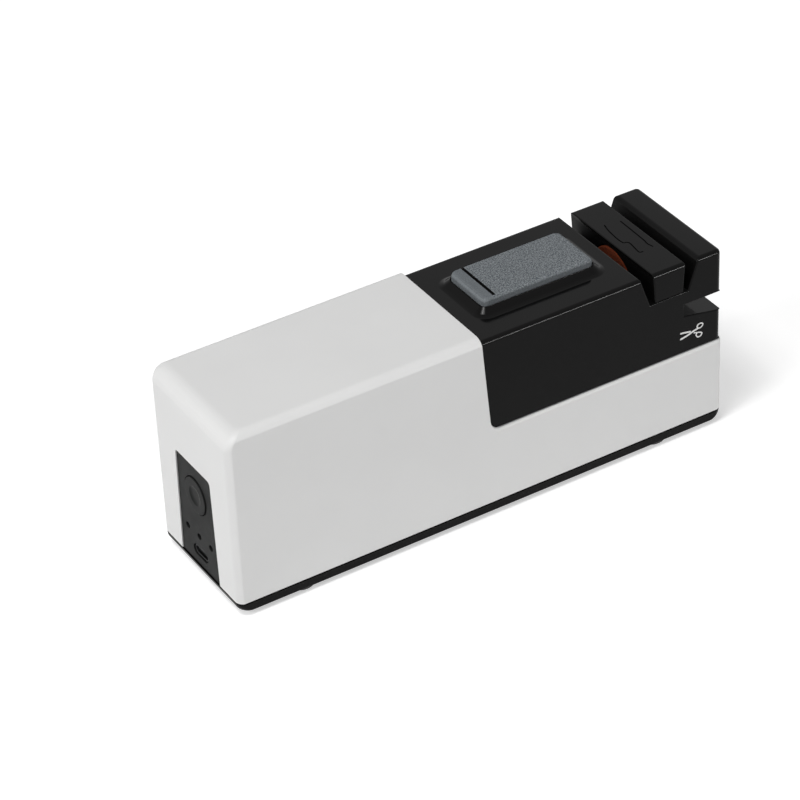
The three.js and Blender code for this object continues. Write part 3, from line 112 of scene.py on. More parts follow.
class Wire:
    """An output socket that can be used in arithmetic."""

    def __init__(self, tree, socket):
        self.tree, self.socket = tree, socket

    def __add__(self, other):
        return self.tree.maths("ADD", self, other)

    def __sub__(self, other):
        return self.tree.maths("SUBTRACT", self, other)

    def __rsub__(self, other):
        return self.tree.maths("SUBTRACT", other, self)

    def __mul__(self, other):
        return self.tree.maths("MULTIPLY", self, other)

    def __truediv__(self, other):
        return self.tree.maths("DIVIDE", self, other)

    __radd__, __rmul__ = __add__, __mul__


class TreeWriter:
    """Adds nodes to one tree."""

    def __init__(self, tree):
        self.tree = tree

    def node(self, kind, inputs=None, settings=None, out=0):
        """A new node, as the wire from one of its outputs if it has any."""
        made = self.tree.nodes.new(kind)
        for key, value in (settings or {}).items():
            setattr(made, key, value)
        for key, value in (inputs or {}).items():
            if isinstance(value, Wire):
                self.tree.links.new(value.socket, made.inputs[key])
            else:
                made.inputs[key].default_value = value
        return Wire(self, made.outputs[out]) if made.outputs else None

    def maths(self, operation, a, b=0.0):
        return self.node("ShaderNodeMath", {0: a, 1: b}, {"operation": operation})

    def ramp(self, value, low, high):
        """0 below low, 1 above high, and a straight slope between them."""
        return self.node("ShaderNodeMapRange", {"Value": value, "From Min": low, "From Max": high},
                         {"clamp": True})

    def between(self, value, low, high):
        """1 from low to high, 0 outside."""
        return self.maths("GREATER_THAN", value, low) * self.maths("LESS_THAN", value, high)

    def axes(self, vector):
        """The three parts of a vector."""
        outputs = self.node("ShaderNodeSeparateXYZ", {"Vector": vector}).socket.node.outputs
        return [Wire(self, outputs[axis]) for axis in "XYZ"]

    def tint(self, mask, first, second):
        """One colour turning into another as the mask goes from 0 to 1."""
        return self.node("ShaderNodeMix", {0: mask, 6: first, 7: second}, {"data_type": "RGBA"}, 2)


def emptied(owner):
    """The bare node tree of a material or a world."""
    owner.use_nodes = True
    owner.node_tree.nodes.clear()
    return owner.node_tree


# %% [markdown]
# ## Floor, backdrop and light
# The picture is a studio shot on white: the floor runs off into a white background, and only a
# soft shadow ties the object down. The floor is a plain pale sheet. It glows a little for the
# camera and for reflections, so it reaches white where nothing shades it and still darkens
# under the object, while the light that it throws on the object stays that of plain paper.

# %% Floor and world
FLOOR_COLOUR = (0.86, 0.86, 0.86, 1)
FLOOR_LIFT = 0.48
FLOOR_HALF = 6.0
FLOOR_Z = -0.00002
SKY_FILL = 0.15
WHITE = (1, 1, 1, 1)


def seen_directly(writer):
    """1 for rays of the camera, of reflections and of clear parts."""
    light_path = writer.node("ShaderNodeLightPath").socket.node
    seen = [Wire(writer, light_path.outputs[name])
            for name in ("Is Camera Ray", "Is Glossy Ray", "Is Transmission Ray")]
    return writer.maths("MINIMUM", seen[0] + seen[1] + seen[2], 1.0)


def make_floor():
    corners = [(x * FLOOR_HALF, y * FLOOR_HALF, FLOOR_Z)
               for x, y in ((-1, -1), (1, -1), (1, 1), (-1, 1))]
    mesh = bpy.data.meshes.new("studio_floor")
    mesh.from_pydata(corners, [], [(0, 1, 2, 3)])
    floor = bpy.data.objects.new("studio_floor", mesh)
    scene.collection.objects.link(floor)
    paper = bpy.data.materials.new("studio_paper")
    writer = TreeWriter(emptied(paper))
    sheet = writer.node("ShaderNodeBsdfDiffuse", {"Color": FLOOR_COLOUR})
    lift = writer.node("ShaderNodeEmission", {
        "Color": WHITE, "Strength": seen_directly(writer) * FLOOR_LIFT})
    both = writer.node("ShaderNodeAddShader", {0: sheet, 1: lift})
    writer.node("ShaderNodeOutputMaterial", {"Surface": both})
    mesh.materials.append(paper)


def make_world():
    world = bpy.data.worlds.new("studio")
    scene.world = world
    writer = TreeWriter(emptied(world))
    strength = SKY_FILL + seen_directly(writer) * (1 - SKY_FILL)
    glow = writer.node("ShaderNodeBackground", {"Color": WHITE, "Strength": strength})
    writer.node("ShaderNodeOutputWorld", {"Surface": glow})


make_floor()
make_world()
scene.view_settings.view_transform = "Standard"
print("floor", 2 * FLOOR_HALF, "m square, sky fill", SKY_FILL)

# %% [markdown]
# The white end is the brightest side and the long side the darkest, so one large softbox stands at
# the control end and another hangs above. Two small, bright ones are there for what the black
# mirrors: a strip beside the far end gives the long edges their thin bright lines, and a square
# one overhead gives the corner of the stone's seat its gleam.

# %% Softboxes
OBJECT_CENTRE = Vector((0.0, 0.0, 0.04))
ABOVE = (-0.37, -0.105, 0.925)


def softbox(name, direction, distance, wide, tall, radiance):
    """A panel that faces the object, with the same brightness whatever its size."""
    data = bpy.data.lights.new(name, "AREA")
    data.shape, data.size, data.size_y = "RECTANGLE", wide, tall
    data.energy = radiance * math.pi * wide * tall
    lamp = bpy.data.objects.new(name, data)
    away = Vector(direction).normalized()
    lamp.location = OBJECT_CENTRE + away * distance
    lamp.rotation_euler = away.to_track_quat("Z", "Y").to_euler()
    scene.collection.objects.link(lamp)


softbox("end_softbox", (-0.84, -0.13, 0.525), 2.2, 1.08, 1.08, 4.4)
softbox("top_softbox", ABOVE, 2.2, 0.85, 0.85, 8.9)
softbox("corner_softbox", ABOVE, 2.0, 0.16, 0.16, 30.0)
softbox("edge_softbox", (0.49, -0.86, 0.19), 2.0, 0.34, 0.12, 75.0)

# %% [markdown]
# ## Moulded plastics
# Injection moulded shells are never mirror smooth. The tool has a fine spark texture, the melt
# leaves slow waves, and hands polish some places more than others. So each plastic has three
# layers: a grain of about a quarter of a millimetre in the bump, a slow change of colour and
# gloss, and rubbed patches. The colour itself stays plain, as it is on the real shells.

# %% A material with one principled shader


class Finish(TreeWriter):
    """One material: its texture space, its shader and its end node."""

    def __init__(self, name, **uniform):
        self.material = bpy.data.materials.new(name)
        super().__init__(emptied(self.material))
        self.shader = self.tree.nodes.new("ShaderNodeBsdfPrincipled")
        self.node("ShaderNodeOutputMaterial", {"Surface": Wire(self, self.shader.outputs[0])})
        self.place = self.node("ShaderNodeTexCoord", out="Object")
        for key, value in uniform.items():
            socket = key.replace("_", " ").title().replace("Ior", "IOR")
            self.shader.inputs[socket].default_value = value

    def feed(self, socket, value):
        self.tree.links.new(value.socket, self.shader.inputs[socket])

    def speckle(self, grain, detail=2.0, rough=0.5, stretch=(1, 1, 1)):
        """Noise from 0 to 1 whose lumps are about grain millimetres across."""
        where = self.node("ShaderNodeMapping", {"Vector": self.place, "Scale": stretch})
        return self.node("ShaderNodeTexNoise", {
            "Vector": where, "Scale": 1 / (grain * MM), "Detail": detail, "Roughness": rough})

    def cells(self, grain):
        """Distance to the nearest grit, 0 at its middle."""
        return self.node("ShaderNodeTexVoronoi", {"Vector": self.place, "Scale": 1 / (grain * MM)})

    def relief(self, height, depth, before=None):
        """A bump of depth millimetres for a height from 0 to 1."""
        inputs = {"Height": height, "Distance": depth * MM, "Strength": 1.0}
        if before is not None:
            inputs["Normal"] = before
        return self.node("ShaderNodeBump", inputs)


DRIFT_GRAIN, RUB_GRAIN, WAVE_GRAIN = 34, 11, 9
WAVE_DEPTH = 0.010
SCUFF = 0.32


def moulded(name, colour, variation, gloss, grain=0.26, depth=0.006, scuffed=None, **uniform):
    """Satin plastic: colour, how far it varies, and its smoothest and roughest gloss. scuffed(made)
    may give a mask of where use has made it dull."""
    made = Finish(name, **uniform)
    drift = made.speckle(DRIFT_GRAIN, detail=3)
    darker = tuple(c * (1 - variation) for c in colour[:3]) + (1,)
    made.feed("Base Color", made.tint(made.ramp(drift, 0.35, 0.65), darker, colour))
    rubbed = made.ramp(made.speckle(RUB_GRAIN, detail=5, rough=0.6), 0.42, 0.70)
    rough = gloss[0] + rubbed * (gloss[1] - gloss[0])
    made.feed("Roughness", rough + scuffed(made) * SCUFF if scuffed else rough)
    waves = made.relief(made.speckle(WAVE_GRAIN, detail=1), WAVE_DEPTH)
    made.feed("Normal", made.relief(made.speckle(grain), depth, waves))
    return made.material


def glossy_black(name, scuffed=None):
    return moulded(name, (0.0030, 0.0029, 0.0029, 1), 0.25, (0.10, 0.15), depth=0.0006,
                   scuffed=scuffed, specular_ior_level=0.085)


white_plastic = moulded("white_satin", (0.80, 0.80, 0.795, 1), 0.02, (0.36, 0.42),
                        specular_ior_level=0.25)
black_plastic = glossy_black("black_satin")
charcoal_plastic = moulded("charcoal_satin", (0.0135, 0.0140, 0.0137, 1), 0.12, (0.34, 0.44),
                           depth=0.004, specular_ior_level=0.03)
print("plastics:", white_plastic.name, black_plastic.name, charcoal_plastic.name)

# %% [markdown]
# ## Shapes from outlines
# Three ways of drawing make nearly every moulding here. A stack of rounded rings gives blocks
# with fillets, an outline pushed through a depth gives windows and slots, and a turned profile
# gives round parts. Each makes one closed mesh with its faces outward.

# %% Closed solids
ROUND_STEPS = 10
TURN_STEPS = 72
FINE_STEPS = 96
FILLET_STEPS = 6
WELD = 0.002


def solid(name, points, faces):
    """One closed mesh object from points in millimetres."""
    mesh = bpy.data.meshes.new(name)
    mesh.from_pydata([[c * MM for c in p] for p in points], [], faces)
    work = bmesh.new()
    work.from_mesh(mesh)
    bmesh.ops.remove_doubles(work, verts=work.verts, dist=WELD * MM)
    bmesh.ops.recalc_face_normals(work, faces=work.faces)
    work.to_mesh(mesh)
    work.free()
    made = bpy.data.objects.new(name, mesh)
    scene.collection.objects.link(made)
    return made


def wall_faces(count, rings):
    """Faces from each of so many rings of count points to the next."""
    return [(low + i, low + (i + 1) % count, low + count + (i + 1) % count, low + count + i)
            for low in range(0, count * (rings - 1), count) for i in range(count)]


def stacked(name, rings):
    """Rings of equal count, joined one to the next and closed at both ends."""
    points = [p for ring in rings for p in ring]
    count = len(rings[0])
    faces = [tuple(reversed(range(count)))] + wall_faces(count, len(rings))
    return solid(name, points, faces + [tuple(range(len(points) - count, len(points)))])


def rounded_ring(x0, x1, half_y, corner, z, crisp=0.0):
    """A rectangle with round corners, that leave its long sides at the angle crisp."""
    r = min(corner, half_y, (x1 - x0) / 2)
    quarter = math.pi / 2
    y = half_y - r * math.cos(crisp)
    arcs = [(x1 - r, y, 0), (x0 + r, y, quarter + crisp), (x0 + r, -y, 2 * quarter),
            (x1 - r, -y, 3 * quarter + crisp)]
    return [(u + r * math.cos(a), v + r * math.sin(a), z) for u, v, start in arcs
            for a in (start + k / ROUND_STEPS * (quarter - crisp) for k in range(ROUND_STEPS + 1))]


def drawn_in(z, z0, z1, low_r, high_r, crisp=0.0):
    """How far a rounded edge has drawn in at height z."""
    above, below = z - (z1 - high_r), z0 + low_r - z
    if high_r > 0 and above > 0:
        return max(0, high_r * math.cos(crisp) - math.sqrt(max(0, high_r ** 2 - above ** 2)))
    if low_r > 0 and below > 0:
        return low_r - math.sqrt(max(0, low_r ** 2 - below ** 2))
    return 0


def rounded_block(name, x0, x1, half_y, z0, z1, corner, end_top=0, side_top=0, end_low=0,
                  side_low=0, crisp=0.0):
    """A block with round upright corners, and its own rounding on the ends and the long sides."""
    heights = {z0, z1}
    for k in range(ROUND_STEPS + 1):
        lift = math.sin(k / ROUND_STEPS * math.pi / 2)
        heights |= {z1 - r + r * lift for r in (end_top, side_top) if r}
        heights |= {z0 + r - r * lift for r in (end_low, side_low) if r}
    heights.add(z1 - side_top + side_top * math.sin(crisp))
    levels = sorted(heights)
    levels = [z for i, z in enumerate(levels) if i == 0 or z - levels[i - 1] > WELD]
    rings = []
    for z in levels:
        ends = drawn_in(z, z0, z1, end_low, end_top)
        sides = drawn_in(z, z0, z1, side_low, side_top, crisp)
        rings.append(rounded_ring(x0 + ends, x1 - ends, half_y - sides, corner, z, crisp=crisp))
    return stacked(name, rings)


# Where an outline's two numbers and the depth go, for a solid drawn along each axis
ALONG = {"X": lambda u, v, w: (w, u, v),
         "Y": lambda u, v, w: (u, w, v),
         "Z": lambda u, v, w: (u, v, w)}


def drawn(name, outline, axis, low, high):
    """An outline pushed along an axis."""
    return stacked(name, [[ALONG[axis](u, v, w) for u, v in outline] for w in (low, high)])


def slab(name, x0, x1, y0, y1, z0, z1):
    return drawn(name, [(x0, y0), (x1, y0), (x1, y1), (x0, y1)], "Z", z0, z1)


def turned(name, profile, axis, centre, steps=TURN_STEPS):
    """A profile of (along, radius) pairs, turned about an axis through centre."""
    spins = [k / steps * 2 * math.pi for k in range(steps)]
    points = [ALONG[axis](centre[0] + radius * math.cos(a), centre[1] + radius * math.sin(a), along)
              for along, radius in profile for a in spins]
    return solid(name, points, wall_faces(steps, len(profile)))


def rod(name, axis, radius, low, high, centre, steps=TURN_STEPS // 2):
    return turned(name, [(low, 0), (low, radius), (high, radius), (high, 0)], axis, centre, steps)


def rods(name, axis, radius, low, high, centres):
    return [rod(name, axis, radius, low, high, centre) for centre in centres]


def filleted(corners):
    """An outline from (u, v, radius) corners, each replaced by its arc."""
    points = []
    for i, (u, v, radius) in enumerate(corners):
        here = Vector((u, v))
        if radius <= 0:
            points.append((u, v))
            continue
        before = (Vector(corners[i - 1][:2]) - here).normalized()
        after = (Vector(corners[(i + 1) % len(corners)][:2]) - here).normalized()
        half = before.angle(after) / 2
        reach = radius / math.tan(half)
        middle = here + (before + after).normalized() * radius / math.sin(half)
        start, end = here + before * reach - middle, here + after * reach - middle
        sweep = start.angle_signed(end)
        points += [tuple(middle + Matrix.Rotation(-sweep * k / ROUND_STEPS, 2) @ start)
                   for k in range(ROUND_STEPS + 1)]
    return points


print("outline corners become arcs of", ROUND_STEPS, "steps")

# %% [markdown]
# ## Cutting, joining and softening edges
# A real moulding has no dead sharp edge: even a crisp one has a radius of a few tenths, and that
# radius is what catches the light. So solids are cut and joined first, then their hard edges get
# a narrow bevel, and weighted normals keep the flat faces flat. Last, `settle` turns what the
# modifiers give into the object's own plain mesh, because later steps want nothing live.

# %% Booleans, bevels and plain meshes
SHARP_ANGLE = math.radians(48)
SMOOTH_ANGLE = math.radians(40)
CRUMB = 0.01


def settle(piece):
    graph = bpy.context.evaluated_depsgraph_get()
    mesh = bpy.data.meshes.new_from_object(
        piece.evaluated_get(graph), preserve_all_data_layers=True, depsgraph=graph)
    piece.modifiers.clear()
    piece.data = mesh
    return piece


def merged(piece, tools, operation):
    for tool in tools:
        step = piece.modifiers.new(operation, "BOOLEAN")
        step.operation, step.solver, step.object = operation, "EXACT", tool
        step.use_hole_tolerant = False
    settle(piece)
    for tool in tools:
        bpy.data.objects.remove(tool)
    return piece


def cut(piece, *tools):
    return merged(piece, tools, "DIFFERENCE")


def joined(piece, *tools):
    return merged(piece, tools, "UNION")


def common(piece, tool):
    return merged(piece, [tool], "INTERSECT")


def cleaned(piece):
    """Welds the crumbs that a cut leaves behind, and closes what they leave open."""
    work = bmesh.new()
    work.from_mesh(piece.data)
    bmesh.ops.remove_doubles(work, verts=work.verts, dist=CRUMB * MM)
    bmesh.ops.dissolve_degenerate(work, edges=work.edges, dist=CRUMB / 2 * MM)
    bmesh.ops.delete(work, geom=[edge for edge in work.edges if edge.is_wire], context="EDGES")
    bmesh.ops.holes_fill(work, edges=[edge for edge in work.edges if edge.is_boundary], sides=0)
    bmesh.ops.recalc_face_normals(work, faces=work.faces)
    work.to_mesh(piece.data)
    work.free()
    return piece


def bevelled(piece, widest, steps):
    """Adds a bevel that rounds each edge by its own weight, the heaviest by widest."""
    bevel = piece.modifiers.new("edge_round", "BEVEL")
    bevel.width, bevel.segments, bevel.limit_method = widest * MM, steps, "WEIGHT"
    bevel.use_clamp_overlap = False
    return bevel


def softened(piece, width, steps=2, widest=None, width_at=None):
    """A narrow round on every hard edge. width_at(middle) may give each its own, up to widest."""
    cleaned(piece)
    if width:
        widest = widest or width
        work = bmesh.new()
        work.from_mesh(piece.data)
        weights = work.edges.layers.float.new("bevel_weight_edge")
        for edge in work.edges:
            if len(edge.link_faces) == 2 and edge.calc_face_angle() > SHARP_ANGLE:
                middle = (edge.verts[0].co + edge.verts[1].co) / 2 / MM
                edge[weights] = (width_at(middle) if width_at else width) / widest
        work.to_mesh(piece.data)
        work.free()
        bevelled(piece, widest, steps).miter_outer = "MITER_ARC"
        settle(piece)
    return shaded(piece)


def shaded(piece):
    piece.data.shade_smooth()
    piece.data.set_sharp_from_angle(angle=SMOOTH_ANGLE)
    even = piece.modifiers.new("even_normals", "WEIGHTED_NORMAL")
    even.keep_sharp, even.weight = True, 60
    return settle(piece)


def dressed(piece, finish, body, *nodes):
    """Gives a piece its material, its body and the CAD nodes that it stands for."""
    piece.data.materials.clear()
    piece.data.materials.append(finish)
    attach(piece, body)
    if nodes:
        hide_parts(*nodes)
    low, high = ([round(pick(v.co[i] for v in piece.data.vertices) / MM, 1) for i in range(3)]
                 for pick in (min, max))
    print(piece.name, "faces", len(piece.data.polygons), "from", low, "to", high)
    return piece


print("hard edges are those over", round(math.degrees(SHARP_ANGLE)), "degrees")

# %% [markdown]
# ## The white sleeve
# The sleeve is one thin shell, open below, with a slanting window at the sharpening end and a
# doorway at the control end. Its long top edges are tight and its end edges generous, so it is
# drawn as a stack of rings that draw in by different amounts, cored by the same form one wall
# smaller, and then cut by the window and the doorway.

# %% White sleeve
HALF_L, HALF_W, HEIGHT, WALL, GAP = 100.0, 26.5, 75.0, 2.2, 0.3
CORNER_R, TOP_SIDE_R, TOP_END_R = 3.2, 3.7, 6.5
CRISP = math.radians(18)
EDGE, SILL_EDGE, SILL_FADE, DOOR_EDGE = 0.3, 1.0, 2.6, 0.12
OVER = 6.0
BASE_Z, BASE_T, TONGUE_RISE = 1.85, 3.5, 2.7
BASE_TOP = BASE_Z + BASE_T
SLEEVE_Z = BASE_TOP + GAP
SEAM_X, SEAM_SLOPE = -1.0, math.tan(math.radians(4.4))
WINDOW_Z, WINDOW_R = 35.7, 4.6
INNER = WALL + GAP
BOSS_R, BOSS_RISE, WEB_T, HOLE = 3.0, 16.0, 1.6, 0.3
BOSS_Z = SLEEVE_Z + TONGUE_RISE + GAP
BOSS_TOP = BOSS_Z + BOSS_RISE
SCREW_X, SCREW_Y, SCREW_R = 60.0, 21.0, 1.5
PANEL_TOP_Z = 48.5
PANEL_HALF_TOP, PANEL_HALF_LOW, PANEL_CORNER = 11.8, 13.1, 1.6
DOOR_RIM = 1.0
SIDES = (-1, 1)


def sleeve_form(name, inset, z0):
    least = WALL / 4
    corner, end_top, side_top = (max(r - inset, least) for r in (CORNER_R, TOP_END_R, TOP_SIDE_R))
    return rounded_block(name, inset - HALF_L, HALF_L - inset, HALF_W - inset, z0, HEIGHT - inset,
                         corner, end_top, side_top, crisp=CRISP)


def seam_at(z):
    return SEAM_X + (HEIGHT - z) * SEAM_SLOPE


def window_outline(gap, low_z):
    top, low, out = HEIGHT + OVER, low_z + gap, HALF_L + OVER
    return filleted([(seam_at(top) + gap, top, 0), (seam_at(low) + gap, low, WINDOW_R),
                     (out, low, 0), (out, top, 0)])


def panel_outline(margin, low_z):
    high = PANEL_TOP_Z + margin
    lean = (PANEL_HALF_LOW - PANEL_HALF_TOP) / (PANEL_TOP_Z - SLEEVE_Z)
    top_half = PANEL_HALF_TOP + margin
    low_half = top_half + (high - low_z) * lean
    return filleted([(-low_half, low_z, 0), (low_half, low_z, 0),
                     (top_half, high, PANEL_CORNER), (-top_half, high, PANEL_CORNER)])


def rim_width(middle):
    """Widest along the sill of the window, narrowest round the doorway."""
    outside = max(abs(middle.y) - HALF_W, middle.z - HEIGHT, abs(middle.x) - HALF_L) > -WALL / 2
    if outside and middle.z > WINDOW_Z - WELD and middle.x > seam_at(middle.z) - WELD:
        return EDGE + (SILL_EDGE - EDGE) * max(0, 1 - (middle.z - WINDOW_Z) / SILL_FADE)
    at_door = (middle.x < WALL - HALF_L and abs(middle.y) < PANEL_HALF_LOW + DOOR_RIM
               and middle.z < PANEL_TOP_Z + DOOR_RIM)
    return DOOR_EDGE if at_door else EDGE


def make_sleeve():
    sleeve = sleeve_form("white_sleeve", 0, SLEEVE_Z)
    cut(sleeve, sleeve_form("core", WALL, SLEEVE_Z - OVER),
        drawn("window", window_outline(0, WINDOW_Z), "Y", -HALF_W - OVER, HALF_W + OVER),
        drawn("doorway", panel_outline(0, SLEEVE_Z - OVER), "X", -HALF_L - OVER, INNER - HALF_L))
    for side in SIDES:
        y0, y1 = sorted((side * SCREW_Y, side * (HALF_W - WALL / 2)))
        place = (-SCREW_X, side * SCREW_Y)
        joined(sleeve, rod("boss", "Z", BOSS_R, BOSS_Z, BOSS_TOP, place),
               slab("web", -SCREW_X - WEB_T / 2, WEB_T / 2 - SCREW_X, y0, y1,
                    BOSS_Z + GAP, BOSS_TOP - GAP))
        cut(sleeve, rod("pilot", "Z", SCREW_R + HOLE, BOSS_Z - OVER, BOSS_TOP - WALL, place))
    return softened(sleeve, EDGE, 3, SILL_EDGE, rim_width)


dressed(make_sleeve(), white_plastic, "housing", "body_shell")

# %% [markdown]
# ## The black head
# The head is the part with the most shape: a deck, one wide valley for the knife slots, a wall,
# and a slot for scissors cut in from the end. Its side view is one outline, so it is drawn as a
# low prism whose edges carry their own radii as bevel weights. That gives clean fillets of
# different sizes that meet properly in the corners, which a cut solid would not.

# %% Black head
HEAD_TOP, HEAD_HALF_W, HEAD_END, HEAD_WALL = 73.2, 25.6, 99.4, 2.0
VALLEY_X, VALLEY_Z, VALLEY_FLOOR_W, VALLEY_TOP_W = 76.9, 61.4, 16.1, 24.2
NOTCH_X, NOTCH_TOP_Z, NOTCH_GAP = 83.3, 55.9, 4.8
NOTCH_SLOPE = math.tan(math.radians(10.3))
STONE_X, STONE_LONG, STONE_WIDE, STONE_THICK, STONE_TOP = 32.6, 45.6, 21.8, 4.0, 78.3
SEAT_RISE, SEAT_LIP, SEAT_FLARE, SEAT_SWEEP, SWEEP_SHARE = 2.4, 0.4, 2.9, 1.0, 0.3
SEAT_CORNER, CORNER_SHARE, SEAT_ROUND = 2.0, 0.8, 0.25
AXIS_Z, WHEEL_R, WHEEL_T, COARSE_X, FINE_END = 59.0, 11.7, 5.6, 70.3, 83.8
WHEEL_ROOM = 0.4
SKIRT_Z = WINDOW_Z - 6.5
LIP_X = SEAM_X - 3.0
SMALL_R = 1.0
LONG_EDGE_R = 1.7
RUB_SIDE, RUB_LOW, RUB_HIGH = 0.4, 0.4, 1.6
FRAME_SCREWS = [(8.5, 13.8), (8.5, -13.8), (58.8, 9.1), (58.8, -9.1)]
GUIDE_SCREWS = [(VALLEY_X, -19.5), (VALLEY_X, 19.5)]
LONG_SCREWS = [(SCREW_X, side * SCREW_Y) for side in SIDES]
FRAME_TOP = 43.5


def weighted_prism(name, corners, half_y):
    """A prism across Y. A corner is (x, z, its own radius, radius of the side edge to the next)."""
    widest = max(max(c[2], c[3]) for c in corners)
    count = len(corners)
    prism = drawn(name, [c[:2] for c in corners], "Y", -half_y, half_y)
    weights = prism.data.attributes.new("bevel_weight_edge", "FLOAT", "EDGE")
    lookup = {(round(c[0], 3), round(c[1], 3)): i for i, c in enumerate(corners)}
    for edge in prism.data.edges:
        ends = [prism.data.vertices[v].co / MM for v in edge.vertices]
        a, b = (lookup[(round(p.x, 3), round(p.z, 3))] for p in ends)
        first = a if (a + 1) % count == b else b
        weights.data[edge.index].value = corners[first][2 if a == b else 3] / widest
    bevelled(prism, widest, FILLET_STEPS)
    return settle(prism)


def notch_floor(x):
    return NOTCH_TOP_Z - NOTCH_GAP - (x - NOTCH_X) * NOTCH_SLOPE


def head_prism():
    low = WINDOW_Z + GAP
    top_half, floor_half = VALLEY_TOP_W / 2, VALLEY_FLOOR_W / 2
    return weighted_prism("black_head", [
        (seam_at(HEAD_TOP) + GAP, HEAD_TOP, 0.3, 0.3),
        (seam_at(low) + GAP, low, WINDOW_R - GAP, 0.3),
        (HEAD_END, low, 0.3, 2.2), (HEAD_END, notch_floor(HEAD_END), 0.4, 0.5),
        (NOTCH_X, notch_floor(NOTCH_X), 0.3, 0.5), (NOTCH_X, NOTCH_TOP_Z, 0.3, 0.5),
        (HEAD_END, NOTCH_TOP_Z, 0.4, 2.2), (HEAD_END, HEAD_TOP, 1.6, LONG_EDGE_R),
        (VALLEY_X + top_half, HEAD_TOP, 1.5, 0.6), (VALLEY_X + floor_half, VALLEY_Z, 0.3, 0.5),
        (VALLEY_X - floor_half, VALLEY_Z, 0.3, 0.6),
        (VALLEY_X - top_half, HEAD_TOP, 0.5, LONG_EDGE_R),
    ], HEAD_HALF_W)


def slot_walls(made):
    """1 on what blades rub: inside the valley, below its rim and between the two long sides."""
    x, y, z = (part / MM for part in made.axes(made.place))
    inside = made.between(x, VALLEY_X - VALLEY_TOP_W / 2, VALLEY_X + VALLEY_TOP_W / 2)
    inside *= made.between(y, RUB_SIDE - HEAD_HALF_W, HEAD_HALF_W - RUB_SIDE)
    return inside * made.ramp(HEAD_TOP - z, RUB_LOW, RUB_HIGH)


head = head_prism()
head_plastic = glossy_black("rubbed_black", slot_walls)
print("head prism faces", len(head.data.polygons))

# %% [markdown]
# The stone stands on a low island that sweeps up from the deck in a hollow curve. A stack of
# rings follows that curve: each one is the stone's outline grown by a margin that shrinks as it
# rises. The island is joined on, and then the pocket for the stone, the round well for the
# wheels, the hollow inside and the screw pilots are cut.

# %% Stone seat, wheel well and inside of the head
SEAT_STEPS = 20
ROUNDING = [k * math.pi / 8 for k in range(5)]
LIP_LONG, LIP_DROP, KEEP = 6, 0.05, 1
RIB_T, RIB_HALF, RIB_RISE, RIB_PLACES = 2.6, 10.2, 3.4, (16.25, 28.75)
MOTOR_ROOM_R, MOTOR_FROM, MOTOR_TO = 10.5, -2, 43
POST_R, FRAME_PILOT, PASSAGE_R, PASSAGE_FROM = 2.4, 9, 2.25, 61


def seat_ring(margin, z):
    long_half, wide_half = STONE_LONG / 2 + margin, STONE_WIDE / 2 + margin
    corner = SEAT_CORNER + margin * CORNER_SHARE
    return rounded_ring(STONE_X - long_half, STONE_X + long_half, wide_half, corner, z)


def seat_island():
    rings = [seat_ring(SEAT_LIP + SEAT_FLARE + SEAT_SWEEP, HEAD_TOP - HEAD_WALL / 2)]
    for k in range(SEAT_STEPS + 1):
        share = k / SEAT_STEPS
        sweep = SEAT_SWEEP * max(0, 1 - share / SWEEP_SHARE) ** 2
        margin = SEAT_LIP + SEAT_FLARE * (1 - share) + sweep
        rings.append(seat_ring(margin, HEAD_TOP + SEAT_RISE * share))
    top, soft = HEAD_TOP + SEAT_RISE, SEAT_ROUND
    rings[-1:] = [seat_ring(SEAT_LIP - soft * (1 - math.cos(a)), top - soft + soft * math.sin(a))
                  for a in ROUNDING]
    return stacked("seat", rings)


def wheel_well(name):
    return rod(name, "X", WHEEL_R + WHEEL_ROOM, COARSE_X - WHEEL_ROOM, FINE_END + WHEEL_ROOM,
               (0, AXIS_Z), FINE_STEPS)


